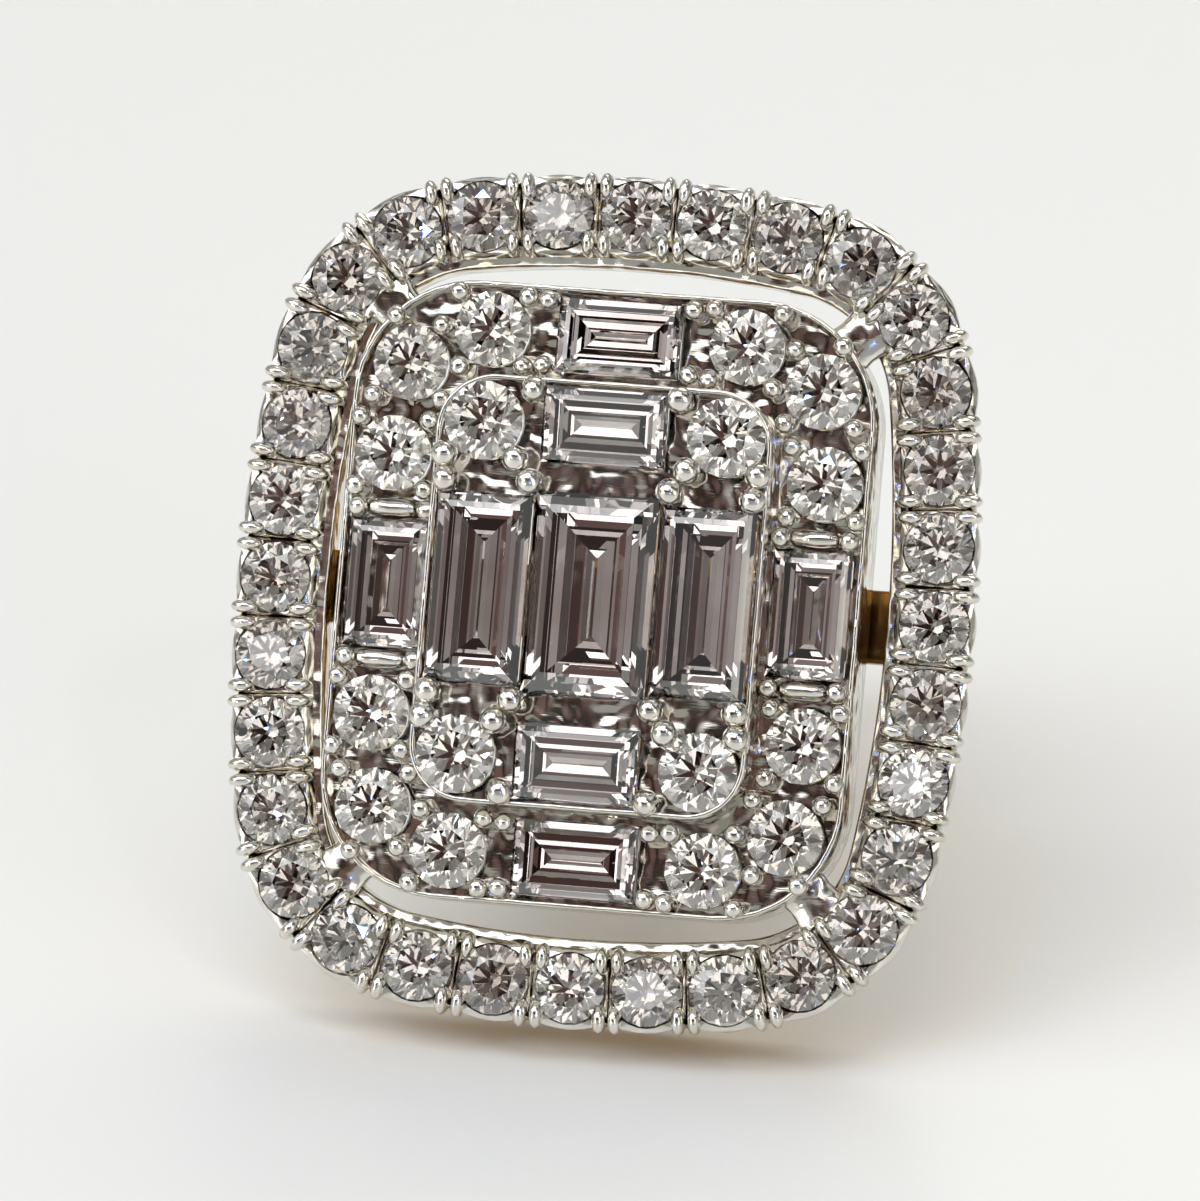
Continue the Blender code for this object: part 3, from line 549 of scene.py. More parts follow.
# Radius and height of the dome, as shares
DOME = ((0.0, -0.7), (1.0, -0.7), (1.0, 0.1), (0.93, 0.42), (0.74, 0.72), (0.42, 0.93), (0.0, 1.0))


def halo_beads():
    """Domes at both edges on both sides of each saw line: middle + across * a + along * b."""
    dome = lathe(DOME, 12) * (BEAD_ALONG, BEAD_ACROSS, BEAD_TOP)
    point, out = halo_at((np.arange(PAVE_COUNT) + 0.5) * PITCH, MIDDLE)
    side = np.stack([-out[:, 1], out[:, 0]], axis=-1)
    made = []
    for across in (MIDDLE - BEAD_IN, BEAD_IN - MIDDLE):
        for aside in (-BEAD_APART, BEAD_APART):
            spot = point + across * out + aside * side
            flat = spot[:, None, None] + dome[..., :1] * side[:, None, None]
            flat = flat + dome[..., 1:2] * out[:, None, None]
            made.append(shell(with_z(flat, dome[..., 2])))
    return made


add_piece("halo_beads", halo_beads(), RHODIUM)

# %% [markdown]
# ## Cutting a stone
# A round brilliant has a table, 8 stars, 8 kites and 16 girdle facets above, and 16 lower
# facets and 8 mains below. Its points lie on five rings and a tip, and two heights are
# chosen so that every kite is flat. A baguette is step cut: rectangles one above the other.
# Real stones are never set quite level, so each one is tipped a few degrees its own way.
# That is what makes neighbours flash at different moments.

# %% Facets of the two cuts
# Shares of the radius: the table, the crown's height, where the stars' outer points lie, the
# pavilion's depth, where the lower facets' inner points lie, and half the girdle's height
TABLE = 0.57
CROWN = 0.31
STAR = 0.76
PAVILION = 0.86
LOWER = 0.24
GIRDLE = 0.04


def brilliant(diameter):
    """Points and facets of a round brilliant round the origin, girdle at z = 0."""
    r = diameter / 2
    half = GIRDLE * r
    narrow = math.cos(TURN / 16)
    star_z = half + CROWN * r * (1 - STAR * narrow) / (1 - TABLE)
    low_z = -half - PAVILION * r * (1 - LOWER * narrow)

    def ring(radius, z, count, phase):
        angle = (np.arange(count) + phase) * TURN / count
        return with_z(radius * on_circle(angle), z)

    points = np.concatenate([
        ring(TABLE * r, half + CROWN * r, 8, 0),
        ring(STAR * r, star_z, 8, 0.5),
        ring(r, half, 16, 0),
        ring(r, -half, 16, 0),
        ring(LOWER * r, low_z, 8, 0.5),
        [[0.0, 0.0, -half - PAVILION * r]],
    ])
    star, upper, lower, inner, tip = 8, 16, 32, 48, 56
    facets = [list(range(8))]
    for k in range(8):
        after, before = (k + 1) % 8, (k - 1) % 8
        first, second, third = 2 * k, (2 * k + 1) % 16, (2 * k + 2) % 16
        facets += [
            [k, after, star + k],
            [k, star + k, upper + first, star + before],
            [star + k, upper + first, upper + second],
            [star + k, upper + second, upper + third],
            [inner + k, lower + first, lower + second],
            [inner + k, lower + second, lower + third],
            [tip, inner + k, lower + first, inner + before],
        ]
    for k in range(16):
        after = (k + 1) % 16
        facets.append([upper + k, upper + after, lower + after, lower + k])
    return points, facets


STEPS = (
    # inset and height, as shares of the stone's shorter side
    (0.170, 0.125),
    (0.105, 0.098),
    (0.038, 0.052),
    (0.000, 0.020),
    (0.000, -0.020),
    (0.110, -0.170),
    (0.260, -0.320),
    (0.490, -0.500),
)


def baguette(width, height):
    """Points and facets of a step-cut bar: one rectangle for each row of STEPS."""
    short = min(width, height)
    rings = []
    for inset, z in STEPS:
        half = np.array([width, height]) / 2 - inset * short
        rings.append(with_z(QUARTER_SIGNS * half, z * short))
    facets = quads(len(rings), 4).tolist()
    facets.append([0, 1, 2, 3])
    last = 4 * (len(rings) - 1)
    facets.append([last, last + 1, last + 2, last + 3])
    return np.concatenate(rings), facets


# Steps from one stone to the next that never fall into a rhythm: two shares and radians
WAY_STEP = 0.618034
AMOUNT_STEP = 0.754878
SPIN_STEP = 2.4
# The least tilt, as a share of the most
LEAST_TILT = 0.35


def tilted(points, number, most):
    """Tip a stone about its own centre, its way and amount stepping on with its number."""
    way = TURN * (WAY_STEP * number % 1)
    amount = math.radians(most) * (LEAST_TILT + (1 - LEAST_TILT) * (AMOUNT_STEP * number % 1))
    axis = np.array([math.cos(way), math.sin(way), 0.0])
    across = np.cross(axis, points)
    return points + math.sin(amount) * across + (1 - math.cos(amount)) * np.cross(axis, across)


def turned(points, angle, axis):
    """Turn points about x (0), y (1) or z (2)."""
    a, b = (axis + 1) % 3, (axis + 2) % 3
    turn = np.eye(3)
    turn[[a, b], [a, b]] = math.cos(angle)
    turn[a, b] = math.sin(angle)
    turn[b, a] = -math.sin(angle)
    return points @ turn


# %% The halo's 32 brilliants
PAVE_GIRDLE = -0.01
PAVE_TILT = 8.0


def pave_stones():
    """One brilliant at each tile's middle, each spun and tipped its own way."""
    points, facets = brilliant(PAVE_DIAMETER)
    centres, _ = halo_at(np.arange(PAVE_COUNT) * PITCH, MIDDLE)
    made = []
    for number, (x, y) in enumerate(centres):
        placed = tilted(turned(points, SPIN_STEP * number, 2), number, PAVE_TILT)
        made.append((placed + (x, y, PAVE_GIRDLE), facets))
    return made


add_piece("halo_diamonds", pave_stones(), MELEE_DIAMOND, slot="diamond", sharp=None)

# %% The centre stones
CENTRE_TILT = 2.4
# Degrees by which each step-cut stone is tipped over its long middle line
LEANS = {
    "stone_outer_top": -2.6,
    "stone_inner_top": 6.0,
    "stone_inner_bottom": 6.0,
    "stone_outer_bottom": 4.5,
    "stone_centre": -3.5,
    "stone_inner_left": -4.5,
    "stone_inner_right": -6.0,
    "stone_outer_left": -5.0,
    "stone_outer_right": -6.0,
}

for number, (node, x, y, width, height, girdle, is_round) in enumerate(STONES):
    if is_round:
        points, facets = brilliant(width)
        points = turned(points, SPIN_STEP * number, 2)
        finish = BRILLIANT_DIAMOND
    else:
        points, facets = baguette(width, height)
        points = turned(points, math.radians(LEANS[node]), 1 if height > width else 0)
        finish = BAGUETTE_DIAMOND
    placed = tilted(points, number, CENTRE_TILT) + (x, y, girdle)
    name = node.replace("stone_", "diamond_")
    add_piece(name, [(placed, facets)], finish, stands_for=[node], slot="diamond", sharp=None)

# %% [markdown]
# ## The stepped tray
# The centre is a tray of two steps. Each step is a thick plate drilled through behind every
# stone, inside a thin polished strip that stands a hair above the girdles. The walls of such
# a plate are grids, and its two faces are filled between the outline and the holes.

# %% Plates drilled behind every stone
TRAY_BACK = -0.75
SEAT_DROP = 0.34
HOLE_LEDGE = 0.05
HOLE_CORNER_R = 0.08
TIER_MARGIN = 0.12
TRAY_MARGIN = 0.16
TIER_CORNER_R = 0.95
TRAY_CORNER_R = 2.0
CHAMFER = 0.03
STRIP = 0.08
STRIP_RISE = 0.03
STRIP_EDGE_R = 0.032
STRIP_OVER_PLATE = 0.03
CORNER_STEPS = 12


def step_size(stones, margin):
    """Width and height round the step-cut stones of a tier, with a margin."""
    flats = [stone for stone in stones if not stone[6]]
    reach = [max(abs(stone[1 + k]) + stone[3 + k] / 2 for stone in flats) for k in (0, 1)]
    return [2 * (half + margin) for half in reach]


TIER_W, TIER_H = step_size(INNER, TIER_MARGIN)
TRAY_W, TRAY_H = step_size(OUTER, TRAY_MARGIN)
print("tiers, mm:", np.round([TIER_W, TIER_H, TRAY_W, TRAY_H], 2).tolist())


def hole_outline(stone, grow):
    """The hole behind a stone: a circle, or a rectangle with tight corners."""
    _, x, y, width, height, _, is_round = stone
    half_x = width / 2 - HOLE_LEDGE + grow
    half_y = height / 2 - HOLE_LEDGE + grow
    if is_round:
        return lathe([(half_x, 0.0)], 24)[0, :, :2] + (x, y)
    return rounded_box(half_x, half_y, HOLE_CORNER_R + grow)[0] + (x, y)


def drilled_plate(width, height, radius, stones, z_low, z_high):
    """Chamfered walls at z_low, z_low + c, z_high - c, z_high, and two filled faces."""
    outline, normals = rounded_box(width / 2, height / 2, radius, CORNER_STEPS)
    levels = (z_low, CHAMFER), (z_low + CHAMFER, 0.0), (z_high - CHAMFER, 0.0), (z_high, CHAMFER)
    loops = []
    for z, chamfer in levels:
        rings = [outline - chamfer * normals] + [hole_outline(stone, chamfer) for stone in stones]
        loops.append([with_z(ring, z) for ring in rings])
    made = [shell(np.stack([level[k] for level in loops])) for k in range(len(loops[0]))]
    for level in (loops[0], loops[-1]):
        corners = tessellate_polygon([[Vector(point[:2]) for point in ring] for ring in level])
        made.append((np.concatenate(level), np.array(corners)))
    return made


LOWER_TOP = LOW_GIRDLE - SEAT_DROP
UPPER_TOP = HIGH_GIRDLE - SEAT_DROP
for name, width, height, radius, stones, z_low, z_high in (
    ("tray_lower_plate", TRAY_W, TRAY_H, TRAY_CORNER_R, STONES, TRAY_BACK, LOWER_TOP),
    ("tray_upper_plate", TIER_W, TIER_H, TIER_CORNER_R, INNER, LOWER_TOP - 2 * CHAMFER, UPPER_TOP),
):
    size = (width - 2 * STRIP_OVER_PLATE, height - 2 * STRIP_OVER_PLATE, radius - STRIP_OVER_PLATE)
    add_piece(name, drilled_plate(*size, stones, z_low, z_high), RHODIUM)

# %% The two polished strips


def strip(width, height, radius, z_low, z_high):
    """A thin wall with rounded edges carried round a step's outline."""
    section, _ = rounded_box(STRIP / 2, (z_high - z_low) / 2, STRIP_EDGE_R, 3)
    section = section[::-1] + (STRIP / 2, (z_low + z_high) / 2)
    outline = rounded_box(width / 2, height / 2, radius, CORNER_STEPS)
    return shell(sweep(section, *outline), round_rows=True)


lower_strip = strip(TRAY_W, TRAY_H, TRAY_CORNER_R, TRAY_BACK, LOW_GIRDLE + STRIP_RISE)
upper_strip = strip(TIER_W, TIER_H, TIER_CORNER_R, LOWER_TOP - CHAMFER, HIGH_GIRDLE + STRIP_RISE)
add_piece("tray_strips", [lower_strip, upper_strip], RHODIUM)

# %% [markdown]
# ## Ball prongs
# The centre stones are held by round-headed wires. Their places are in the solid already:
# each prong's tip stands a fixed height above its tier's girdle. A wire and its ball are one
# turned profile, larger on the upper tier.

# %% Ball prongs from the tips in the solid
PRONG_TIP = 0.20
TIP_TOLERANCE = 0.004
PRONG_LENGTH = 0.62
PRONGS = (
    # girdle, wire's radius, ball's radius, and how far the ball stands above the girdle
    (HIGH_GIRDLE, 0.13, 0.225, 0.29),
    (LOW_GIRDLE, 0.12, 0.165, 0.23),
)


def prong_spots(girdle):
    """The tips of one tier's prongs: points of the solid at the tips' height."""
    tips = head_points[np.abs(head_points[:, 2] - girdle - PRONG_TIP) < TIP_TOLERANCE]
    return np.unique(np.round(tips[:, :2], 3), axis=0)


def ball_prong(wire, ball):
    """A wire with a ball on it, its top at z = 0: radius sqrt(ball^2 - h^2) round the ball."""
    h = np.linspace(-0.75, 1.0, 9)
    radius = ball * np.sqrt(np.maximum(1 - h * h, 0))
    profile = [(0.0, -PRONG_LENGTH), (wire, -PRONG_LENGTH), (wire, -ball + h[0] * ball)]
    profile += list(zip(radius, -ball + h * ball))
    return lathe(profile, 16)


prongs = []
for girdle, wire, ball, above in PRONGS:
    spots = prong_spots(girdle)
    prongs.append(shell(at_spots(ball_prong(wire, ball), with_z(spots, girdle + above))))
    print("prongs round the girdles at", round(girdle, 2), "mm:", len(spots))
add_piece("centre_prongs", prongs, RHODIUM)

# %% [markdown]
# ## Corner bars
# Bars at 45 degrees carry the tray inside the halo, one above another at each corner.
# They run under the halo's inner beads and into the tray's wall, waisted in between.

# %% Corner bars
BAR_WAIST = 0.14
BAR_IN_TRAY = 0.30
BAR_IN_HALO = 0.08
BAR_POWER = 2.1
LEDGE = 0.15
BARS = (
    # radius at which it ends, width, and z of its back and front
    (CORNER_R - BAND + BAR_IN_HALO, 0.95, -0.30, 0.0),
    (CORNER_R - BAND - LEDGE + BAR_IN_HALO, 0.85, -0.70, -0.15),
)


def corner_bar(end_r, width, z_low, z_high):
    """A rounded section carried from the tray out to a radius round the corner's centre."""
    out = np.array([1.0, 1.0]) / math.sqrt(2)
    side = np.array([-out[1], out[0]])
    start = np.array([TRAY_W, TRAY_H]) / 2 - TRAY_CORNER_R + out * (TRAY_CORNER_R - BAR_IN_TRAY)
    reach = (corner_centre + out * end_r - start) @ out
    s = np.array([0.0, 0.0, 0.2, 0.35, 0.5, 0.65, 0.8, 1.0, 1.0])
    size = np.array([0, 1, 1, 1, 1, 1, 1, 1, 0])
    wide = (1 - BAR_WAIST * np.sin(math.pi * s) ** 2) * size
    section = oval(width / 2, (z_high - z_low) / 2, BAR_POWER)
    flat = start + (s * reach)[:, None, None] * out + (wide[:, None] * section[:, 0])[..., None] * side
    tall = size[:, None] * section[:, 1] + (z_low + z_high) / 2
    return with_z(flat, tall) * with_z(QUARTER_SIGNS, 1)[:, None, None, :]


add_piece("corner_bars", [shell(corner_bar(*bar)) for bar in BARS], RHODIUM)

# %% End bars of the two standing baguettes of the lower tier
END_BAR = (0.44, 0.16, 0.32)
END_BAR_OUT = 0.19
END_BAR_BELOW = 0.16
END_BAR_POWER = 2.4


def end_bars():
    """Rounded bars across both ends of each standing stone: an oval swept along x."""
    half_x, half_y, half_z = END_BAR
    s = np.array([-1.0, -0.94, -0.8, -0.4, 0.0, 0.4, 0.8, 0.94, 1.0])
    size = np.sqrt(np.maximum(1 - s ** 6, 0))
    section = oval(half_y, half_z, END_BAR_POWER, 16)
    y = size[:, None] * section[:, 0]
    z = size[:, None] * section[:, 1]
    x = np.broadcast_to(s[:, None] * half_x, y.shape)
    bar = np.stack([x, y, z], axis=-1)
    standing = [stone for stone in OUTER if not stone[6] and stone[4] > stone[3]]
    spots = [
        (x0, y0 + side * (height / 2 + END_BAR_OUT), LOW_GIRDLE - END_BAR_BELOW)
        for _, x0, y0, _, height, _, _ in standing for side in (-1, 1)
    ]
    return shell(at_spots(bar, spots))


add_piece("end_bars", [end_bars()], RHODIUM)

# %% [markdown]
# ## The yellow gallery
# Under the white band runs a yellow wall, pierced by eight slots: one at the middle of each
# side and four round the corners. Each slot is the middle of a tile once more, this time on
# the wall's outer and inner faces: rings of points run from the slot, a stretched
# round-cornered square, out to the tile's border. A ledge above stands further in.

# %% The pierced wall
WALL_INSET = 0.12
WALL_THICK = 0.60
WALL_TOP = -0.34
HOLLOW = -0.61
WALL_LEAN = 0.15
SLOT_TOP = -0.94
SLOT_H = 0.36
RAIL_BACK = -1.65
BRIDGE = 1.6
SIDE_SLOT = 2.4
END_SLOT = 2.0
ROUNDING = 0.07
SLOT_POWER = 5
SLOT_EDGE = 0.015
LONG_STEPS = 32
SHORT_STEPS = 6
# Where the rings of a face lie, from the tile's border (1) in to the slot (0)
WALL_RINGS = (1.0, 0.6, 0.25, 0.04)


def slot_tiles():
    """Way of each slot's middle, half its length, and half the way to the next slot's tile."""
    quarter = halo_length(WALL_INSET) / 4
    side = (SIDE_SLOT + BRIDGE) / 2
    end = quarter - (END_SLOT + BRIDGE) / 2
    corner = (side + end) / 2
    middles = [0, corner, quarter, 2 * quarter - corner]
    halves = [side, (end - side) / 2, quarter - end, (end - side) / 2]
    middles = np.array(middles + [2 * quarter + middle for middle in middles])
    halves = np.array(halves * 2)
    return middles, halves - BRIDGE / 2, halves


def leant(section):
    """Lean in towards the back: the inset grows by WALL_LEAN times the depth below the top."""
    section = np.asarray(section, float)
    return section + np.stack([WALL_LEAN * (WALL_TOP - section[:, 1]), 0 * section[:, 1]], axis=1)


def pierced_wall():
    """Faces at two insets, each ring s between slot and border, then slot walls and edges."""
    middles, slot_half, tile_half = slot_tiles()
    long_way = np.linspace(-1, 1, LONG_STEPS + 1)[:-1]
    short_way = np.linspace(-1, 1, SHORT_STEPS + 1)[:-1]
    long_end, short_end = np.ones(LONG_STEPS), np.ones(SHORT_STEPS)
    u = np.concatenate([long_way, short_end, -long_way, -short_end])
    w = np.concatenate([-long_end, short_way, long_end, -short_way])
    angle = np.arctan2(w, u)
    squircle = (np.abs(on_circle(angle)) ** SLOT_POWER).sum(axis=1) ** (-1 / SLOT_POWER)
    slot_mid = SLOT_TOP - SLOT_H / 2
    top = WALL_TOP - slot_mid
    low = slot_mid - (RAIL_BACK + ROUNDING)
    border_z = slot_mid + np.where(w > 0, w * top, w * low)
    slot_z = slot_mid + squircle * np.sin(angle) * SLOT_H / 2
    border_way = middles[:, None] + tile_half[:, None] * u
    slot_way = middles[:, None] + slot_half[:, None] * squircle * np.cos(angle)

    def ring(s, depth):
        way = s * border_way + (1 - s) * slot_way
        edge_z = border_z if depth == 0 else np.minimum(border_z, HOLLOW)
        z = np.broadcast_to(s * edge_z + (1 - s) * slot_z, way.shape)
        point, normal = halo_at(way, WALL_INSET)
        inwards = depth + WALL_LEAN * (WALL_TOP - z)
        return with_z(point - inwards[..., None] * normal, z)

    rows = [ring(s, 0.0) for s in WALL_RINGS]
    rows += [ring(0.0, SLOT_EDGE), ring(0.0, WALL_THICK - SLOT_EDGE)]
    rows += [ring(s, WALL_THICK) for s in WALL_RINGS[::-1]]
    wall = shell(np.stack(rows, axis=1))
    ways = (middles[:, None] + tile_half[:, None] * long_way).ravel()
    points, normals = halo_at(ways, WALL_INSET)
    hollow = [(0.0, WALL_TOP), (0.10, WALL_TOP - 0.02), (0.18, HOLLOW), (WALL_THICK, HOLLOW)]
    top_edge = shell(sweep(leant(hollow), points, normals), round_rows=True, round_columns=False)
    arc = np.linspace(0, TURN / 4, 5)
    low_z = RAIL_BACK + ROUNDING
    outer = np.stack([ROUNDING * (1 - np.cos(arc)), low_z - ROUNDING * np.sin(arc)], axis=1)
    inner = np.stack([WALL_THICK - outer[::-1, 0], outer[::-1, 1]], axis=1)
    rail = leant(np.concatenate([outer, inner]))
    low_edge = shell(sweep(rail, points, normals), round_rows=True, round_columns=False)
    return [wall, top_edge, low_edge]


GALLERY = {"stands_for": ["gallery"], "slot": "yellow_gold", "sharp": 50}
add_piece("gallery_wall", pierced_wall(), YELLOW_GOLD, **GALLERY)

# %% The ledge, the crossbar and the post
CROSSBAR_W = 1.2
CROSSBAR_DEPTH = 0.5
CROSSBAR_SET_IN = 0.02
LEDGE_TOP = -0.32
POST_R = 0.45
POST_ROUNDING = 0.2
# Radius, and z from the rail's back, of the solder fillet at the post's root
FILLET = ((0.0, 0.2), (0.66, 0.2), (0.66, 0.01), (0.60, -0.01), (0.51, -0.06), (POST_R, -0.16))


def ledge():
    """A rounded section with a hollow under the band's bulge, carried round the cushion."""
    inner = BAND + LEDGE
    section = np.array([
        (WALL_INSET + 0.2, SLOT_TOP), (WALL_INSET + 0.2, HOLLOW), (1.04, HOLLOW), (1.12, LEDGE_TOP),
        (inner - 0.05, LEDGE_TOP), (inner - 0.015, LEDGE_TOP - 0.015), (inner, LEDGE_TOP - 0.05),
        (inner, SLOT_TOP + 0.05), (inner - 0.015, SLOT_TOP + 0.015), (inner - 0.05, SLOT_TOP),
    ])
    points, normals = halo_at(np.linspace(0, 1, 257)[:-1] * halo_length(BAND), BAND)
    return shell(sweep(section - (BAND, 0), points, normals), round_rows=True)


def crossbar():
    """A round-cornered bar from side to side, its back a hair inside the rail's."""
    half = HALO_W / 2 - WALL_INSET - WALL_THICK / 2
    x = np.array([-half, -half, half, half])
    size = np.array([0, 1, 1, 0])
    section, _ = rounded_box(CROSSBAR_W / 2, CROSSBAR_DEPTH / 2, ROUNDING)
    y = size[:, None] * section[:, 0]
    z = size[:, None] * section[:, 1] + RAIL_BACK + CROSSBAR_SET_IN + CROSSBAR_DEPTH / 2
    return shell(np.stack([np.broadcast_to(x[:, None], y.shape), y, z], axis=-1))


def post():
    """A turned rod: a small solder fillet at its root, and a rounded tip."""
    arc = np.linspace(0, TURN / 4, 7)
    profile = [(radius, RAIL_BACK + z) for radius, z in FILLET]
    for a in arc:
        radius = POST_R - POST_ROUNDING * (1 - math.cos(a))
        profile.append((radius, POST_ROUNDING - POST_END - POST_ROUNDING * math.sin(a)))
    profile.append((0.0, -POST_END))
    return shell(lathe(profile, 40))


add_piece("halo_inner_wall", [ledge()], RHODIUM, sharp=50)
# The crossbar lies in shadow behind the tray; its darker gold is painted shade
add_piece("crossbar", [crossbar()], SHADE_DARKENED_GOLD, **GALLERY)
add_piece("post", [post()], YELLOW_GOLD, **GALLERY)

# %% [markdown]
# ## The butterfly back
# The back is one strip of springy sheet. Its middle is pressed into a dished oval with a
# hole for the post, and its two ends are rolled into scrolls that grip the post between
# them. The plate is a profile carried round an oval, and an arm a section along arcs.

# %% The dished plate
PLATE_FROM_FACE = 7.9
PLATE_HALF = (2.25, 3.025)
HOLE_R = 0.50
SHEET = 0.30
DISH = 0.42
RIM_AT = 0.98
RIM_ROUND = 0.05
PLATE_STEPS = 64
# Crests and hollows of the plate: share of the way out to the rim, share of the depth
WAVES = np.array([[0.0, 1.0], [0.34, 0.10], [0.62, 0.38], [1.0, 0.0]])


def dish(share):
    """Depth of the pressed waves: cosine steps between the crests and hollows."""
    k = np.clip(np.searchsorted(WAVES[:, 0], share, side="right") - 1, 0, len(WAVES) - 2)
    t = (share - WAVES[k, 0]) / (WAVES[k + 1, 0] - WAVES[k, 0])
    t = 0.5 - 0.5 * np.cos(math.pi * t)
    return DISH * (WAVES[k, 1] * (1 - t) + WAVES[k + 1, 1] * t)


def plate():
    """Front face out to the rim, a round edge, and the back face in to the hole again."""
    share = np.linspace(0, 1, 29)
    edge = np.linspace(0, math.pi, 7)[1:-1]
    front = np.stack([share, -dish(share)], axis=1)
    rim = np.stack([1 + RIM_ROUND * np.sin(edge), -SHEET / 2 * (1 - np.cos(edge))], axis=1)
    back = np.stack([share[::-1], -dish(share[::-1]) - SHEET], axis=1)
    profile = np.concatenate([front, rim, back])
    way = on_circle(np.arange(PLATE_STEPS) * TURN / PLATE_STEPS)
    reach = HOLE_R + profile[:, :1] * (np.array(PLATE_HALF) * RIM_AT - HOLE_R)
    return shell(with_z(reach[:, None] * way, profile[:, 1:] - PLATE_FROM_FACE), round_rows=True)


# %% The two scrolls
SCROLL_W = 2.5
SCROLL_LENGTH = 4.2
SCROLL_SPAN = 4.56
SHOULDER_R = 0.45
CURL_GAP = 0.42
CURL_FROM_PLATE = 1.35
CURL_TAIL = 0.9
ARM_DIP = 0.045
ARM_EDGE_R = 0.07


def scroll_path():
    """Over the plate's edge, straight back, round a half turn and forward, and curled in."""
    half = SHEET / 2
    outer = SCROLL_SPAN / 2 - half
    inner = HOLE_R + half
    turn_r = (outer - inner) / 2
    curl_r = (outer - inner - SHEET - CURL_GAP) / 2
    root = -PLATE_FROM_FACE - half
    back = root + SHEET - SCROLL_LENGTH
    curl = root - CURL_FROM_PLATE
    arcs = (
        # centre x, centre z, radius, first and last angle in degrees, steps
        (outer - SHOULDER_R, root - SHOULDER_R, SHOULDER_R, 90, 0, 10),
        (outer - turn_r, back + turn_r, turn_r, 0, -180, 28),
        (inner + curl_r, curl - curl_r, curl_r, 180, 0, 18),
    )
    path = [np.array([[outer - 2 * SHOULDER_R, root - ARM_DIP]])]
    for x, z, radius, first, last, steps in arcs:
        angle = np.radians(np.linspace(first, last, steps + 1))
        path.append((x, z) + radius * on_circle(angle))
    path.append(np.array([[inner + 2 * curl_r, curl - curl_r - CURL_TAIL]]))
    return np.concatenate(path)


def arms():
    """A flat section with rounded edges at each point of the path, on both sides."""
    path = scroll_path()
    run = np.gradient(path, axis=0)
    run /= np.linalg.norm(run, axis=1)[:, None]
    across = np.stack([-run[:, 1], run[:, 0]], axis=-1)
    section, _ = rounded_box(SHEET / 2, SCROLL_W / 2, ARM_EDGE_R, 3)
    path = path[[0, *range(len(path)), -1]]
    across = across[[0, *range(len(across)), -1]]
    size = np.ones(len(path))
    size[[0, -1]] = 0
    xz = path[:, None] + (size[:, None] * section[:, 0])[..., None] * across[:, None]
    y = size[:, None] * section[:, 1]
    arm = np.stack([xz[..., 0], y, xz[..., 1]], axis=-1)
    return [shell(arm), shell(arm * (-1, 1, 1))]


BUTTERFLY = {**GALLERY, "body": "butterfly", "stands_for": ["butterfly_back"]}
add_piece("butterfly_plate", [plate()], YELLOW_GOLD, **BUTTERFLY)
add_piece("butterfly_scrolls", arms(), YELLOW_GOLD, **BUTTERFLY)

# %% [markdown]
# ## Table, light and camera
# Polished metal and cut stones show only what stands round them. That is a white gloss
# board, a grey room that turns brown where the face looks, a large soft panel overhead,
# smaller ones to the sides, and tiny lamps, some of them blue, for the facets to throw back.

# %% The floor


def floor():
    """A wide round table top, flat in the middle and rising far away as a cove."""
    profile = [(0, 0), (0.05, 0), (0.2, 0), (0.6, 0), (1.2, 0), (1.8, 0.1), (2.2, 0.45), (2.5, 1)]
    points, faces = shell(lathe(profile, 96))
    name = "white_gloss_board"
    mesh = bpy.data.meshes.new(name)
    mesh.from_pydata(points, [], faces.tolist())
    mesh.shade_smooth()
    # Coated board: nearly white, with a soft gloss
    board, _, _ = new_material(name, {"Base Color": linear("#F0F2EF"), "Roughness": 0.32})
    mesh.materials.append(board)
    table_top = in_scene(name, mesh)
    table_top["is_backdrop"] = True


floor()

# %% The camera
CAMERA_AZIMUTH = 10.4
CAMERA_ELEVATION = 24.5
CAMERA_AWAY = 0.16
FIELD = 0.0196
AIM = np.array([0.0, 0.0, 0.3])
SENSOR = 36.0


def towards(azimuth, elevation):
    """Unit vector, angles in degrees: azimuth 0 is -Y and 90 is +X, elevation is upwards."""
    a, e = math.radians(azimuth), math.radians(elevation)
    return np.array([math.sin(a) * math.cos(e), -math.cos(a) * math.cos(e), math.sin(e)])


def aim(thing, target, way, away):
    """Stand a camera or a lamp some way off from a target and turn it to face that."""
    thing.location = Vector(target + away * way)
    thing.rotation_euler = Vector(-way).to_track_quat("-Z", "Y").to_euler()


def make_camera():
    """A long lens at the photograph's angle, aimed at the middle of the face."""
    data = bpy.data.cameras.new("camera")
    data.sensor_width = SENSOR
    data.lens = SENSOR * CAMERA_AWAY / FIELD
    data.clip_start = 0.01
    data.clip_end = 20.0
    camera = in_scene("camera", data)
    aim(camera, to_world(AIM), towards(CAMERA_AZIMUTH, CAMERA_ELEVATION), CAMERA_AWAY)
    bpy.context.scene.camera = camera


make_camera()

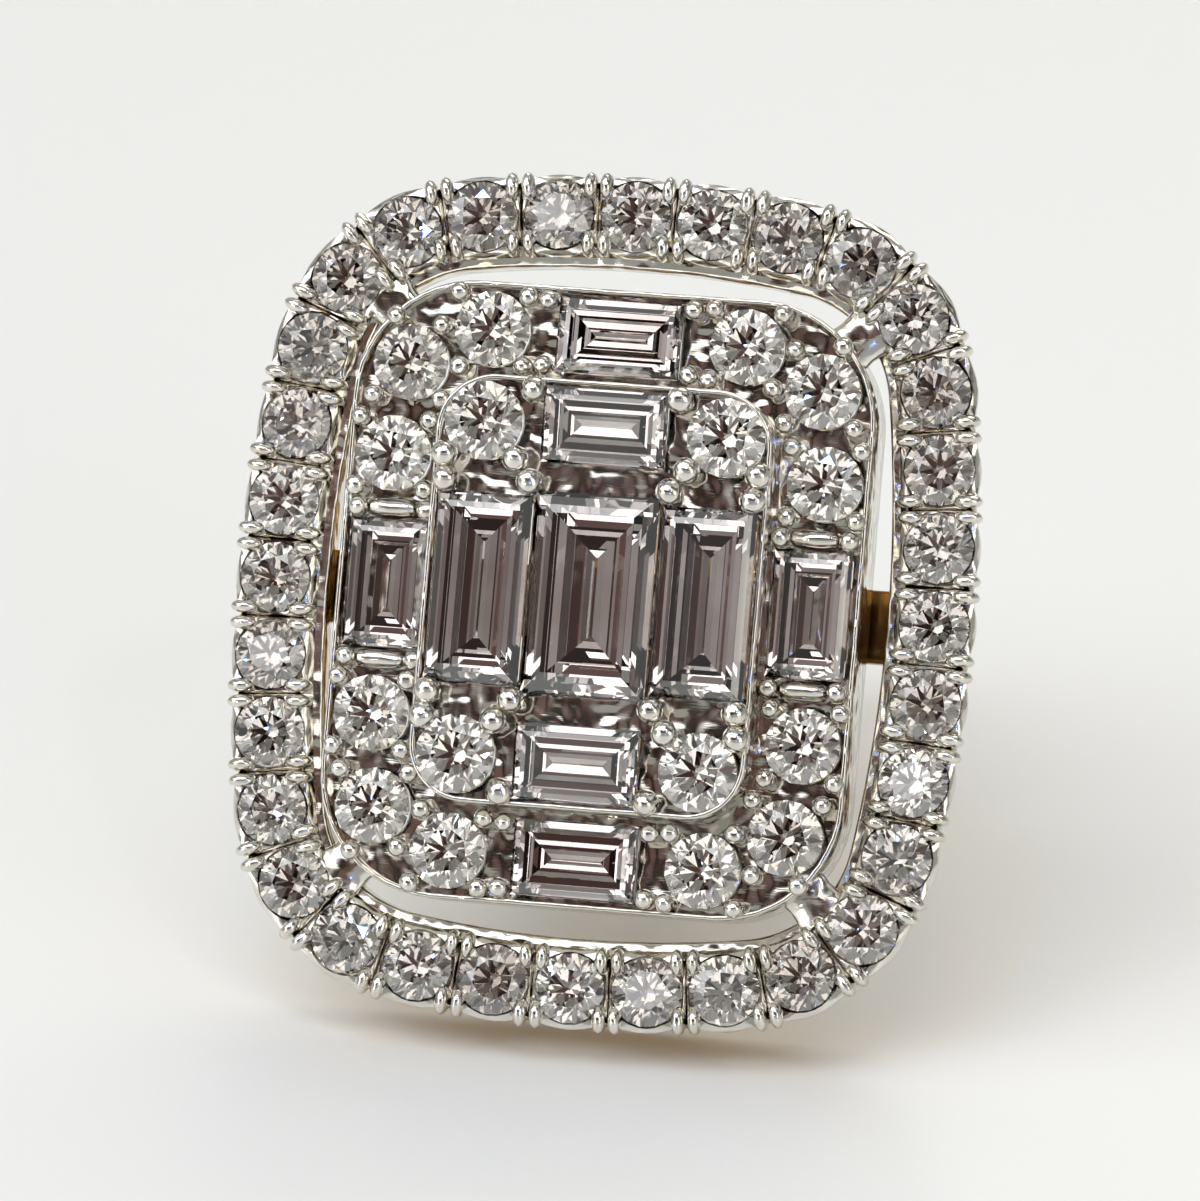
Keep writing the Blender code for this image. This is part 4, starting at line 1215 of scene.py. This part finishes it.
# %% Soft panels
PANELS_AWAY = 0.60
PANELS = (
    # name, azimuth, elevation, width and height in metres, watts, colour
    ("high_window", -16, 60, 0.48, 0.40, 1.28, "#FFFFFF"),
    ("left_window", -66, 36, 0.34, 0.30, 0.66, "#FAFCFF"),
    ("left_card", -44, 12, 0.22, 0.26, 0.34, "#FFFFFF"),
    ("right_card", 46, 18, 0.20, 0.28, 0.34, "#FFFAF2"),
    ("back_window", 165, 50, 0.40, 0.34, 0.98, "#FFF6E8"),
    ("high_right_lamp", 36, 50, 0.025, 0.025, 0.12, "#FFF4E4"),
    ("low_left_lamp", -24, 8, 0.02, 0.02, 0.06, "#FFFFFF"),
    ("blue_chink", -16, 74, 0.025, 0.025, 0.12, "#5F90FF"),
    ("low_blue_chink", 20, 16, 0.02, 0.02, 0.06, "#6F98FF"),
    ("left_blue_chink", -40, 36, 0.02, 0.02, 0.06, "#6A96FF"),
    ("right_blue_chink", 30, 34, 0.02, 0.02, 0.06, "#6A96FF"),
    ("amber_lamp", 22, 72, 0.015, 0.015, 0.05, "#FFA050"),
)


def make_panels():
    """Area lights that face the object, unseen by the camera themselves."""
    for name, azimuth, elevation, width, height, watts, colour in PANELS:
        light = bpy.data.lights.new(name, "AREA")
        light.shape = "RECTANGLE"
        light.size = width
        light.size_y = height
        light.energy = watts
        light.color = linear(colour)[:3]
        lamp = in_scene(name, light)
        aim(lamp, np.zeros(3), towards(azimuth, elevation), PANELS_AWAY)
        lamp.visible_camera = False


make_panels()

# %% The room
ROOM_GREY = "#F3F4F3"
ROOM_BROWN = "#80655F"
ROOM_DARK = 0.06
ROOM_BRIGHT = 0.94
# Cosines of the angles from where the face looks, at which the brown begins and is full
BROWN_FROM = 0.84
BROWN_FULL = 0.98


def make_room():
    """A soft grey room with vague things in it, brown and darker where the face looks."""
    world = bpy.data.worlds.new("room")
    bpy.context.scene.world = world
    world.use_nodes = True
    tree = world.node_tree
    where = add_node(tree, "ShaderNodeTexCoord", "Generated", {})
    pattern = {"Vector": where, "Scale": 3.2, "Detail": 1.0}
    things = add_node(tree, "ShaderNodeTexNoise", "Fac", pattern)
    level = add_node(
        tree, "ShaderNodeMapRange", "Result",
        {"Value": things, "From Min": 0.38, "From Max": 0.62, "To Min": ROOM_DARK, "To Max": ROOM_BRIGHT},
    )
    ways = {0: where, 1: (-BACK).tolist()}
    facing = add_node(tree, "ShaderNodeVectorMath", "Value", ways, operation="DOT_PRODUCT")
    limits = {"Value": facing, "From Min": BROWN_FROM, "From Max": BROWN_FULL}
    shade = add_node(
        tree, "ShaderNodeMapRange", "Result", limits, interpolation_type="SMOOTHSTEP"
    )
    colours = {0: shade, 6: linear(ROOM_GREY), 7: linear(ROOM_BROWN)}
    tone = add_node(tree, "ShaderNodeMix", 2, colours, data_type="RGBA")
    background = tree.nodes["Background"]
    tree.links.new(tone, background.inputs["Color"])
    tree.links.new(level, background.inputs["Strength"])


make_room()
bpy.context.scene.view_settings.view_transform = "Standard"

# %% [markdown]
# ## Both boxes are measured, and how far the dressed model has grown past its solids is printed.
# The dressed model has to stay the size of its solids, so both boxes are written down.

# %% Measure the two boxes and print the growth
shown_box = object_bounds()
sizes = {
    "cad": [list(cad_box[0]), list(cad_box[1])],
    "visual": [list(shown_box[0]), list(shown_box[1])],
}
grown = 1000 * (np.array(sizes["visual"]) - np.array(sizes["cad"]))
print("grown by, mm:", grown.round(3).tolist())
